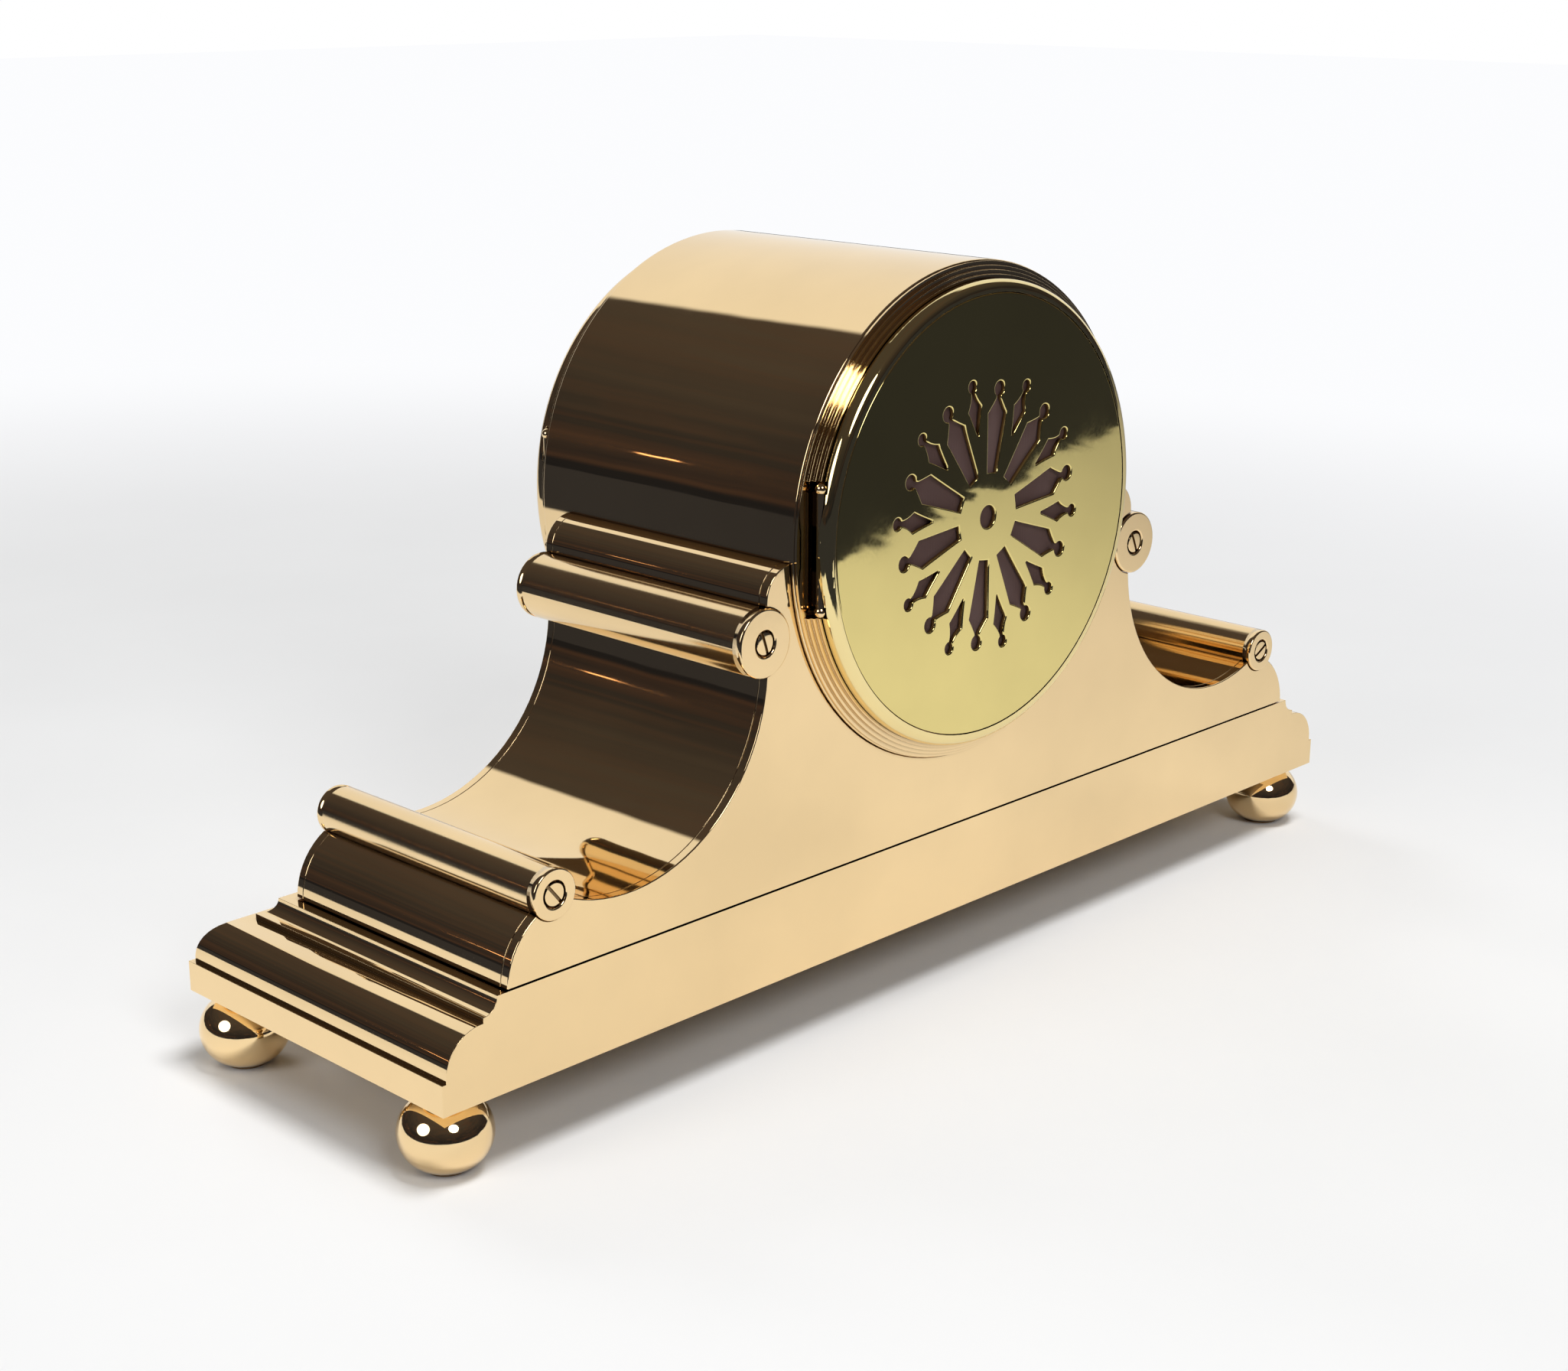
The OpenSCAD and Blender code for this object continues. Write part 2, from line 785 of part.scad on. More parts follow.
module drum_shell() {
    color(brass_c) translate([0, 0, drum_z]) depth(drum_front_y, drum_rear_y)
        difference() {
            circle(r = drum_r, $fn = 180);
            circle(r = drum_in_r, $fn = 180);
        }
}

// Ring on the drum's end: flange, three steps and a spigot inside the drum
module ring_2d() {
    translate([ring_in_r, 0]) square([ring_r - ring_in_r, flange_t]);
    for (i = [1 : 3])
        translate([ring_in_r, 0])
            square([ring_r - i * ring_step - ring_in_r, flange_t + i * ring_step_h]);
    translate([spigot_in_r, -spigot_l]) square([drum_in_r - fit - spigot_in_r, spigot_l]);
}

module end_ring(pin_x) {
    difference() {
        turned() ring_2d();
        translate([pin_x - knuckle_r - clear, flange_t, hinge_up - notch_half])
            cube([drum_r, ring_h, 2 * notch_half]);
        for (p = strap_ps) translate([p[0], 0, p[1]]) rotate([-90, 0, 0]) {
            translate([0, 0, -over]) disc(strap_screw_r + fit, ring_h + over);
            translate([0, 0, flange_t]) disc(strap_head_r + fit, ring_h);
        }
    }
}
module rear_ring() color(brass_c) at_rear() end_ring(rear_pin_x);
module front_ring() color(brass_c) at_front() end_ring(front_pin_x);

module on_pin(pin_x, z0) {
    translate([pin_x, hinge_off, hinge_up + z0]) children();
}

module knuckle(l) {
    difference() {
        disc(knuckle_r, l);
        translate([0, 0, -over]) disc(pin_d / 2 + run, l + 2 * over);
    }
}

// Fixed leaf with the two outer knuckles, let into the ring's notch
module fixed_leaf(pin_x) {
    for (z = [-hinge_half, knuckle_mid / 2 + run]) {
        on_pin(pin_x, z) knuckle(knuckle_end - run);
        difference() {
            translate([pin_x - knuckle_r, flange_t, hinge_up + z])
                cube([knuckle_r - clear, hinge_off - clear / 2 - flange_t, knuckle_end - run]);
            on_pin(pin_x, z - over) disc(knuckle_r - run, knuckle_end + 2 * over);
        }
    }
    translate([pin_x - knuckle_r - clear + fit, flange_t, hinge_up - hinge_half])
        cube([leaf_w, leaf_t, 2 * hinge_half]);
}
module hinge_leaves() color(brass_c) {
    at_rear() fixed_leaf(rear_pin_x);
    at_front() fixed_leaf(front_pin_x);
}

module pin_ball() {
    difference() {
        translate([0, 0, ball_d / 3]) sphere(d = ball_d);
        translate([0, 0, fit - ball_d]) disc(ball_d, ball_d);
    }
}
module hinge_pin(pin_x) {
    on_pin(pin_x, 0) {
        translate([0, 0, -hinge_half - ball_d / 3]) disc(pin_d / 2, 2 * (hinge_half + ball_d / 3));
        translate([0, 0, hinge_half]) pin_ball();
        mirror([0, 0, 1]) translate([0, 0, hinge_half]) pin_ball();
    }
}
module hinge_pins() color(brass_c) {
    at_rear() hinge_pin(rear_pin_x);
    at_front() hinge_pin(front_pin_x);
}

// Room in a rim for the knuckles and balls, and the middle knuckle that belongs to the rim
module hinge_room(pin_x) {
    on_pin(pin_x, -notch_half) disc(knuckle_r + clear, 2 * notch_half);
    for (z = [-notch_half, hinge_half - clear])
        on_pin(pin_x, z) disc(ball_d / 2 + clear, notch_half - hinge_half + clear);
}
module rim_knuckle(pin_x) {
    on_pin(pin_x, -knuckle_mid / 2) knuckle(knuckle_mid);
    difference() {
        translate([pin_x - knuckle_d, hinge_off + clear / 2, hinge_up - knuckle_mid / 2])
            cube([knuckle_d + knuckle_r / 2, knuckle_d, knuckle_mid]);
        on_pin(pin_x, -knuckle_mid) disc(knuckle_r - run, 2 * knuckle_mid);
    }
}

module rounded_corner_2d(r_out, h, round) {
    intersection() {
        translate([r_out - round, h - round]) circle(r = round);
        translate([r_out - round, h - round]) square(round);
    }
}

module rear_door_rim() {
    color(brass_c) at_rear() {
        difference() {
            turned() difference() {
                union() {
                    translate([ring_in_r, rim_from]) square([rim_r - ring_in_r, rim_t - rim_round]);
                    translate([ring_in_r, rim_from]) square([rim_r - rim_round - ring_in_r, rim_t]);
                    rounded_corner_2d(rim_r, rim_top, rim_round);
                }
                translate([0, rim_top - fret_t]) square([fret_d / 2 + fit, rim_t]);
            }
            hinge_room(rear_pin_x);
        }
        rim_knuckle(rear_pin_x);
    }
}

module dart_2d(r, at, neck, shoulder, end, shoulder_w, end_w) {
    translate([0, at]) circle(r = r, $fn = 32);
    polygon([[-r * neck_w_share, at], [r * neck_w_share, at], [r * neck_w_share, at * neck],
        [r * shoulder_w, at * shoulder], [r * end_w, at * end], [-r * end_w, at * end],
        [-r * shoulder_w, at * shoulder], [-r * neck_w_share, at * neck]]);
}

module fret_plate() {
    color(fret_c) at_rear() translate([0, rim_top - fret_t, 0]) rotate([-90, 0, 0])
        linear_extrude(height = fret_t) difference() {
            circle(d = fret_d, $fn = 180);
            circle(r = fret_hole_r);
            // Outward depth is drawn with height downwards, so the pattern is flipped
            mirror([0, 1]) for (i = [0 : petals - 1]) rotate(fret_turn + i * 360 / petals) {
                dart_2d(bulb_r, bulb_at, neck_share, shoulder_share, inner_share,
                    shoulder_w_share, inner_w_share);
                rotate(180 / petals) dart_2d(small_bulb_r, small_bulb_at, small_neck_share,
                    small_shoulder_share, small_tip_share, small_shoulder_w_share, small_tip_w_share);
            }
        }
}

module rear_disc(r0, r1, y, t) {
    at_rear() translate([0, y, 0]) rotate([-90, 0, 0]) linear_extrude(height = t) difference() {
        circle(r = r1, $fn = 180);
        if (r0 > 0) circle(r = r0, $fn = 180);
    }
}
module sound_cloth() {
    color(cloth_c) rear_disc(0, ring_in_r - fit, rim_top - fret_t - cloth_t, cloth_t);
}
module cloth_ring() {
    color(brass_c) rear_disc(ring_in_r - fit - cloth_ring_w, ring_in_r - fit,
        rim_top - fret_t - cloth_t - cloth_ring_t, cloth_ring_t);
}

module front_bezel() {
    lip = glass_back + glass_t + fit;
    flat_r = bezel_r - bezel_round;
    color(brass_c) at_front() {
        difference() {
            turned() difference() {
                union() {
                    polygon([[glass_open_r, rim_from], [glass_open_r, lip + glass_ring_t],
                        [flat_r - 2 * glass_ring_t, bezel_top], [flat_r, bezel_top], [flat_r, rim_from]]);
                    translate([glass_r, rim_from]) square([bezel_r - glass_r, bezel_t - bezel_round]);
                    rounded_corner_2d(bezel_r, bezel_top, bezel_round);
                }
                square([glass_r + fit, lip]);
            }
            hinge_room(front_pin_x);
        }
        rim_knuckle(front_pin_x);
    }
}

// Domed glass with a flat edge, which the bezel's lip holds
module bezel_glass() {
    color("white", 0.3) at_front() translate([0, glass_back, 0]) turned() difference() {
        union() {
            square([glass_r, glass_t]);
            intersection() {
                translate([0, glass_t + glass_rise - dome_r]) circle(r = dome_r, $fn = 720);
                square([dome_edge_r, glass_t + glass_rise]);
            }
        }
        translate([0, glass_rise - glass_seat - dome_r]) circle(r = dome_r, $fn = 720);
    }
}

module glass_ring() {
    color(brass_c) at_front() translate([0, glass_back - glass_ring_t, 0]) rotate([-90, 0, 0])
        linear_extrude(height = glass_ring_t) difference() {
            circle(r = glass_r, $fn = 180);
            circle(r = glass_open_r, $fn = 180);
        }
}

module dial_plate() {
    color("ivory") behind(0) difference() {
        disc(spigot_in_r - fit, dial_t);
        drill(centre_p, pipe_r + clear, dial_t);
        for (p = [time_p, strike_p]) drill(p, winding_hole_r, dial_t);
        for (p = strap_ps) drill(p, strap_screw_r + fit, dial_t);
    }
    color(brass_c) for (p = dial_foot_ps) behind(dial_t / 2, p) difference() {
        disc(dial_foot_r, motion_gap + dial_t / 2);
        translate([0, 0, motion_gap + dial_t / 2 - screw_l]) disc(screw_r + fit, screw_l + over);
    }
}

// Roman numerals from strokes; each letter's strokes are listed as lean and offset
stroke_w = 1.3;
lean = 18;
letter_gap = 0.9;
numerals = ["I", "II", "III", "IIII", "V", "VI", "VII", "VIII", "IX", "X", "XI", "XII"];
broad_w = numeral_h * tan(lean) + stroke_w;
function letter_w(c) = c == "I" ? stroke_w : broad_w;
function width_to(s, k) = k == 0 ? 0 : width_to(s, k - 1) + letter_w(s[k - 1]) + letter_gap;

module stroke(x0, x1) {
    h = numeral_h / 2;
    r = stroke_w / 2;
    polygon([[x0 - r, h], [x0 + r, h], [x1 + r, -h], [x1 - r, -h]]);
}
module letter(c) {
    w = letter_w(c) - stroke_w;
    if (c == "I") stroke(0, 0);
    if (c == "V") {
        stroke(-w / 2, 0);
        stroke(w / 2, 0);
    }
    if (c == "X") {
        stroke(-w / 2, w / 2);
        stroke(w / 2, -w / 2);
    }
}

numeral_t = 0.2;
module dial_numerals() {
    tick_l = 2.6;
    tick_w = 0.5;
    color("black") behind(-numeral_t) linear_extrude(height = numeral_t) mirror([0, 1]) {
        for (i = [1 : 12]) rotate(-30 * i) translate([0, numeral_at]) {
            s = numerals[i - 1];
            full = width_to(s, len(s)) - letter_gap;
            for (k = [0 : len(s) - 1])
                translate([width_to(s, k) + letter_w(s[k]) / 2 - full / 2, 0]) letter(s[k]);
        }
        difference() {
            circle(r = track_r + tick_l);
            circle(r = track_r + tick_l - tick_w);
        }
        difference() {
            circle(r = track_r);
            circle(r = track_r - tick_w);
        }
        for (i = [0 : 59]) rotate(6 * i) {
            w = i % 5 == 0 ? 2 * tick_w : tick_w;
            translate([-w / 2, track_r - tick_w / 2]) square([w, tick_l]);
        }
    }
}

// Hands, drawn pointing up. Shares are of the hand's length, and of its stem's width.
hand_t = 0.8;
hour_stem_w = 1.6;
minute_stem_w = 1.2;
hour_hand_at = -1.9;
minute_hand_at = -3.5;
blade_share = 0.82;
hour_blade_share = 0.72;
ring_lead_share = 0.03;
ring_w_share = 1.85;
ring_hole_w_share = 0.9;
point_w_share = 0.2;
module hand_2d(l, w, bore_r, blade_at) {
    ring_at = blade_at - l * ring_lead_share;
    difference() {
        union() {
            circle(r = bore_r + w);
            translate([-w / 2, 0]) square([w, blade_at]);
            translate([0, ring_at]) circle(r = w * ring_w_share);
            polygon([[-w, blade_at], [w, blade_at], [w * point_w_share, l], [-w * point_w_share, l]]);
        }
        circle(r = bore_r + fit / 2);
        translate([0, ring_at]) circle(r = w * ring_hole_w_share);
    }
}
module hour_hand() {
    color("midnightblue") behind(hour_hand_at) linear_extrude(height = hand_t) mirror([0, 1])
        rotate(-30 * (hour_set + minute_set / 60))
            hand_2d(hour_hand_l, hour_stem_w, pipe_r, hour_hand_l * hour_blade_share);
}
module minute_hand() {
    color("midnightblue") behind(minute_hand_at) linear_extrude(height = hand_t) mirror([0, 1])
        rotate(-6 * minute_set)
            hand_2d(minute_hand_l, minute_stem_w, cannon_r, minute_hand_l * blade_share);
}

// Gears. A tooth is centred on the turn given by phase.
function local_turn(a, b) = atan2(a[1] - b[1], b[0] - a[0]);
function gap_turn(a, b, n) = local_turn(a, b) + 180 / n;
tooth_shares = [[-root_w_share, -root_h_share], [-tip_w_share, tip_h_share],
    [tip_w_share, tip_h_share], [root_w_share, -root_h_share]];

module gear_2d(teeth, m, phase) {
    polygon([for (i = [0 : teeth - 1], k = tooth_shares)
        polar(teeth * m / 2 + k[1] * m, phase + (i + k[0]) * 360 / teeth)]);
}
module spoked_2d(teeth, m, phase, hub) {
    inner = teeth * m / 2 - root_h_share * m - rim_w;
    difference() {
        gear_2d(teeth, m, phase);
        circle(r = inner);
    }
    circle(r = hub);
    for (a = [45, 135]) rotate(a) square([2 * inner + rim_w, spoke_w], center = true);
}
module wheel(at, t, p, teeth, m, phase) {
    behind(at, p) linear_extrude(height = t)
        spoked_2d(teeth, m, phase, hub_share * teeth * m / 2 + arbor_r);
}
module pinion(at, l, p, leaves, m, phase) {
    behind(at, p) linear_extrude(height = l) gear_2d(leaves, m, phase);
}
// Turned arbor: each step is a start, an end and a radius, and laps the one before
step_lap = 0.05;
module arbor(p, steps) {
    for (i = [0 : len(steps) - 1]) {
        s = steps[i];
        start = s[0] - (i > 0 ? step_lap : 0);
        behind(start, p) disc(s[2], s[1] - start);
    }
}
function between(r) = [[front_plate_at + end_shake, front_in_at + end_shake, pivot_r],
    [front_in_at + end_shake, rear_in_at - end_shake, r],
    [rear_in_at - end_shake, rear_out_at - end_shake, pivot_r]];
// Rear plate to platform
platform_steps = [[rear_in_at + end_shake, rear_out_at + end_shake, fine_pivot_r],
    [rear_out_at + end_shake, platform_at - end_shake, staff_r],
    [platform_at - end_shake, platform_at + platform_t - end_shake, fine_pivot_r]];

module movement_front_plate() {
    color(brass_c) {
        behind(front_plate_at) difference() {
            disc(mplate_d / 2, mplate_t);
            drill(centre_p, arbor_r + run, mplate_t);
            for (p = [time_p, strike_p]) drill(p, winding_r + run, mplate_t);
            for (p = [second_p, third_p, fourth_p, pin_p, fly_p, hammer_p])
                drill(p, pivot_r + run, mplate_t);
            for (p = concat(pillar_ps, dial_foot_ps)) drill(p, screw_r + fit, mplate_t);
        }
        arbor(minute_p, [[hour_at - hour_gap / 2, front_plate_at + mplate_t / 2, stud_r]]);
        for (s = [-1, 1])
            arbor(click_place(s), [[ratchet_at - end_shake, front_plate_at + mplate_t / 2, stud_r]]);
    }
}

module movement_rear_plate() {
    color(brass_c) behind(rear_in_at) difference() {
        disc(mplate_d / 2, mplate_t);
        for (p = [centre_p, second_p, third_p, pin_p, fly_p]) drill(p, pivot_r + run, mplate_t);
        for (p = [time_p, strike_p]) drill(p, winding_pivot_r + run, mplate_t);
        drill(fourth_p, fine_arbor_r + run, mplate_t);
        drill(hammer_p, hammer_arbor_r + run, mplate_t);
        for (p = [escape_p, pallet_p, balance_p]) drill(p, fine_pivot_r + run, mplate_t);
        for (p = concat(pillar_ps, platform_post_ps)) drill(p, screw_r + fit, mplate_t);
        drill(bell_centre, bell_stud_r + fit, mplate_t);
    }
}

module pillars() {
    color(brass_c) for (p = pillar_ps) behind(front_in_at, p) difference() {
        disc(pillar_r, mgap);
        translate([0, 0, -over]) disc(screw_r + fit, screw_l + over);
        translate([0, 0, mgap - screw_l]) disc(screw_r + fit, screw_l + over);
    }
}

module movement_straps() {
    color(brass_c) for (a = [strap_turn, 180 - strap_turn]) behind(dial_t) rotate(a) difference() {
        translate([strap_r - strap_t / 2, -strap_w / 2, 0]) cube([strap_t, strap_w, drum_l - dial_t]);
        translate([strap_r, 0, -over]) disc(strap_screw_r + fit, 2 * screw_l);
        translate([strap_r, 0, drum_l - dial_t - 2 * screw_l]) disc(strap_screw_r + fit, 3 * screw_l);
    }
}

// Screw with its head below the origin and its shank above
module screw(head_r, head_t, r, l) {
    translate([0, 0, -head_t]) slotted_head(head_r, head_t);
    disc(r, l);
}
module movement_screws() {
    color(steel_c) {
        for (p = pillar_ps) {
            behind(front_plate_at, p)
                screw(screw_head_r, screw_head_t, screw_r, mplate_t + screw_l - clear);
            behind(rear_out_at, p) mirror([0, 0, 1])
                screw(screw_head_r, screw_head_t, screw_r, mplate_t + screw_l - clear);
        }
        for (p = dial_foot_ps) behind(front_in_at, p) mirror([0, 0, 1])
            screw(screw_head_r, screw_head_t, screw_r, mplate_t + screw_l - clear);
        for (p = platform_post_ps) behind(platform_at + platform_t, p) mirror([0, 0, 1])
            screw(screw_head_r, screw_head_t, screw_r, platform_t + platform_gap + mplate_t / 2);
        for (p = strap_ps) {
            translate([0, drum_rear_y + flange_t, 0]) strap_screw_at(p, 90);
            translate([0, drum_front_y - flange_t, 0]) strap_screw_at(p, -90);
        }
    }
}
module strap_screw_at(p, a) {
    translate([p[0], 0, drum_z + p[1]]) rotate([a, 0, 0])
        screw(strap_head_r, strap_head_t, strap_screw_r, 2 * screw_l - over);
}

cock_foot = 5;
cock_w = 4;
module platform() {
    color(brass_c) {
        behind(rear_out_at) difference() {
            union() {
                translate([platform_x, -platform_z - platform_w, platform_gap])
                    cube([platform_l, platform_w, platform_t]);
                for (p = platform_post_ps) translate([p[0], -p[1], 0])
                    disc(post_r, platform_gap + platform_t / 2);
            }
            for (p = [escape_p, pallet_p]) drill(p, fine_pivot_r + run, platform_gap + platform_t);
            drill(balance_p, staff_r + clear, platform_gap + platform_t);
            for (p = platform_post_ps) drill(p, screw_r + fit, platform_gap + platform_t);
        }
        behind(platform_at + platform_t / 2)
            translate([cock_p[0] - cock_foot / 2, -cock_p[1] - cock_foot / 2, 0])
                cube([cock_foot, cock_foot, cock_at - platform_at]);
        behind(cock_at) difference() {
            linear_extrude(height = cock_t)
                bar_2d([cock_p[0], -cock_p[1]], [balance_p[0], -balance_p[1]], cock_w);
            drill(balance_p, fine_pivot_r + run, cock_t);
        }
    }
}

bell_hole_r = bell_stud_r + run;
bell_inner_r = bell_r - bell_t;
module bell_post() {
    sag = 0.2;
    foot_t = 2;
    nut_t = 2.4;
    // One stud runs through the foot, the post and the nut
    color(brass_c) {
        arbor(bell_centre, [[rear_in_at + end_shake, bell_top_at + nut_t, bell_stud_r]]);
        arbor(bell_centre, [[rear_out_at, rear_out_at + foot_t, 2 * bell_post_r]]);
        arbor(bell_centre, [[rear_out_at, bell_top_at - bell_t - sag, bell_post_r]]);
        arbor(bell_centre, [[bell_top_at + fit, bell_top_at + fit + nut_t, nut_r]]);
    }
}

module bell() {
    color(steel_c) behind(bell_top_at - bell_r, bell_centre) rotate_extrude($fn = 120) difference() {
        intersection() {
            circle(r = bell_r, $fn = 180);
            translate([bell_hole_r, bell_r - bell_depth]) square([bell_r, bell_depth]);
        }
        circle(r = bell_inner_r, $fn = 180);
    }
}

// Going train
module centre_wheel() {
    color(brass_c) {
        wheel(centre_at, thin_t, centre_p, centre_teeth, centre_m, local_turn(centre_p, third_p));
        pinion(second_at - end_shake, wheel_t + 2 * end_shake, centre_p, centre_leaves, second_m,
            gap_turn(centre_p, second_p, centre_leaves));
        arbor(centre_p, [[-minute_tube_out - end_shake, rear_in_at - end_shake, arbor_r],
            [rear_in_at - end_shake, rear_out_at - end_shake, pivot_r]]);
    }
}

minute_tube_out = 4;
hour_pipe_out = 2.3;
module cannon_pinion() {
    color(steel_c) behind(-minute_tube_out) difference() {
        union() {
            disc(cannon_r, minute_tube_out + front_plate_at - 2 * end_shake);
            translate([0, 0, minute_tube_out + cannon_at - end_shake])
                linear_extrude(height = thin_t + 2 * end_shake)
                    gear_2d(cannon_leaves, motion_m, local_turn(centre_p, minute_p));
        }
        drill(centre_p, arbor_r + run, minute_tube_out + front_plate_at);
    }
}

module hour_wheel() {
    color(brass_c) difference() {
        union() {
            wheel(hour_at, thin_t, centre_p, hour_teeth, hour_m, gap_turn(centre_p, minute_p, hour_teeth));
            behind(-hour_pipe_out) disc(pipe_r, hour_pipe_out + hour_at + thin_t);
        }
        behind(-hour_pipe_out) drill(centre_p, cannon_r + run, hour_pipe_out + front_plate_at);
    }
}

module minute_wheel() {
    color(brass_c) difference() {
        union() {
            wheel(cannon_at, thin_t, minute_p, minute_teeth, motion_m,
                gap_turn(minute_p, centre_p, minute_teeth));
            pinion(hour_at - end_shake, cannon_at - hour_at + end_shake, minute_p, minute_leaves, hour_m,
                local_turn(minute_p, centre_p));
        }
        behind(hour_at - over, minute_p) disc(stud_r + run, front_plate_at);
    }
}

module second_wheel() {
    color(brass_c) {
        wheel(second_at, wheel_t, second_p, second_teeth, second_m, local_turn(second_p, centre_p));
        pinion(great_at - end_shake, great_t + 2 * end_shake, second_p, second_leaves, barrel_m,
            gap_turn(second_p, time_p, second_leaves));
        arbor(second_p, between(arbor_r));
    }
}

module third_wheel() {
    color(brass_c) {
        wheel(third_at, thin_t, third_p, third_teeth, third_m, local_turn(third_p, fourth_p));
        pinion(front_in_at + end_shake, thin_t + 2 * end_shake, third_p, third_leaves, centre_m,
            gap_turn(third_p, centre_p, third_leaves));
        arbor(third_p, between(fine_arbor_r));
    }
}

module fourth_wheel() {
    color(brass_c) {
        wheel(fourth_at, thin_t, fourth_p, fourth_teeth, fourth_m, local_turn(fourth_p, escape_p));
        pinion(third_at - end_shake, thin_t + 2 * end_shake, fourth_p, fourth_leaves, third_m,
            gap_turn(fourth_p, third_p, fourth_leaves));
        arbor(fourth_p, [[front_plate_at + end_shake, front_in_at + end_shake, pivot_r],
            [front_in_at + end_shake, fourth_at + thin_t + end_shake, fine_arbor_r]]);
    }
}

// Club teeth, as shares of the pitch and of the tip radius
club_shares = [[0, 0.76], [0.3, 0.76], [0.5, 1], [0.68, 0.97], [0.62, 0.8]];
module escape_wheel() {
    color(brass_c) {
        behind(escape_at, escape_p) linear_extrude(height = 2 * end_shake) {
            difference() {
                polygon([for (i = [0 : escape_teeth - 1], k = club_shares)
                    polar(escape_r * k[1], (i + k[0]) * 360 / escape_teeth)]);
                circle(r = escape_r * club_shares[0][1] - 2 * end_shake);
            }
            circle(r = arbor_r);
            for (a = [0, 90]) rotate(a)
                square([2 * escape_r * club_shares[0][1] - end_shake, staff_r], center = true);
        }
        pinion(fourth_at - end_shake, thin_t + 2 * end_shake, escape_p, escape_leaves, fourth_m,
            gap_turn(escape_p, fourth_p, escape_leaves));
        arbor(escape_p, platform_steps);
    }
}

pallet_reach = 5.6;
fork_at = 5.6;
fork_l = 1;
fork_w = 0.8;
arm_w = 0.6;
lever_t = 1;
pallet_turn = 30;
module pallet_lever() {
    color(steel_c) {
        behind(lever_at, pallet_p) linear_extrude(height = lever_t) {
            for (s = [-1, 1]) {
                bar_2d([0, 0], polar(pallet_reach, pallet_turn * s) - [lever_gap, 0], arm_w);
                bar_2d([fork_at, 0], [fork_at + fork_l, s * fork_w], arm_w / 2);
            }
            bar_2d([0, 0], [fork_at, 0], arm_w);
            circle(r = arbor_r);
        }
        arbor(pallet_p, platform_steps);
    }
}

module balance_wheel() {
    rim = 1.2;
    rim_h = 1;
    color(brass_c) {
        behind(balance_at, balance_p) linear_extrude(height = rim_h) {
            difference() {
                circle(r = balance_r);
                circle(r = balance_r - rim);
            }
            square([2 * balance_r - rim, rim], center = true);
        }
        arbor(balance_p, [[rear_in_at + end_shake, rear_out_at + end_shake, fine_pivot_r],
            [rear_out_at + end_shake, cock_at - end_shake, staff_r],
            [cock_at - end_shake, cock_at + cock_t - end_shake, fine_pivot_r],
            [roller_at, roller_at + staff_r, pipe_r]]);
        arbor(balance_p - [roller_gap - fork_at - fork_l, 0],
            [[roller_at - fork_w, roller_at + staff_r / 2, fine_pivot_r]]);
    }
}

// Flat spiral from r0 to r1
spiral_steps = 20;
function spiral(r0, r1, turns, s) = [for (i = [0 : turns * spiral_steps])
    let (j = s > 0 ? i : turns * spiral_steps - i)
    polar(r0 + (r1 - r0) * j / (turns * spiral_steps), j * 360 / spiral_steps)];
module spiral_2d(r0, r1, turns, t) {
    polygon(concat(spiral(r0, r1, turns, 1), spiral(r0 + t, r1 + t, turns, -1)));
}

module hairspring() {
    color(steel_c) behind(hair_at, balance_p) linear_extrude(height = 2 * hair_t) {
        difference() {
            circle(r = arbor_r + hair_t);
            circle(r = staff_r);
        }
        spiral_2d(arbor_r, hair_r, hair_turns, hair_t);
    }
}

// Barrels, springs and winding arbors of both sides
module barrel(p, partner) {
    color(brass_c) difference() {
        union() {
            behind(barrel_at, p) difference() {
                disc(barrel_r, barrel_l);
                translate([0, 0, barrel_wall]) disc(barrel_r - barrel_wall, barrel_l);
            }
            behind(great_at, p) linear_extrude(height = great_t)
                gear_2d(barrel_teeth, barrel_m, local_turn(p, partner));
        }
        behind(barrel_at - over, p) disc(winding_r + run, barrel_l + great_t + 2 * over);
    }
}
module mainspring(p) {
    r1 = barrel_r - barrel_wall - spring_t - run;
    color(steel_c) behind(barrel_at + barrel_wall + spring_t, p)
        linear_extrude(height = barrel_l - barrel_wall - 2 * spring_t)
            spiral_2d(barrel_hub_r + clear, r1, spring_turns, spring_t);
}
// Ratchet teeth, as shares of the pitch and of the tip radius
ratchet_shares = [[0, 1], [0.15, 0.86]];
module winding_arbor(p, s) {
    color(steel_c) {
        arbor(p, [[ratchet_at - end_shake, rear_in_at - end_shake, winding_r],
            [barrel_at + barrel_wall + end_shake, great_at - end_shake, barrel_hub_r],
            [rear_in_at - end_shake, rear_out_at - end_shake, winding_pivot_r]]);
        behind(winding_tip_at, p) cylinder(r = winding_r, h = ratchet_at - winding_tip_at, $fn = 4);
        behind(ratchet_at, p) linear_extrude(height = ratchet_t) mirror([s > 0 ? 0 : 1, 0])
            polygon([for (i = [0 : ratchet_teeth - 1], k = ratchet_shares)
                polar(ratchet_r * k[1], (i + k[0]) * 360 / ratchet_teeth)]);
    }
}
module time_barrel() barrel(time_p, second_p);
module time_mainspring() mainspring(time_p);
module time_arbor() winding_arbor(time_p, 1);
module strike_barrel() barrel(strike_p, pin_p);
module strike_mainspring() mainspring(strike_p);
module strike_arbor() winding_arbor(strike_p, -1);

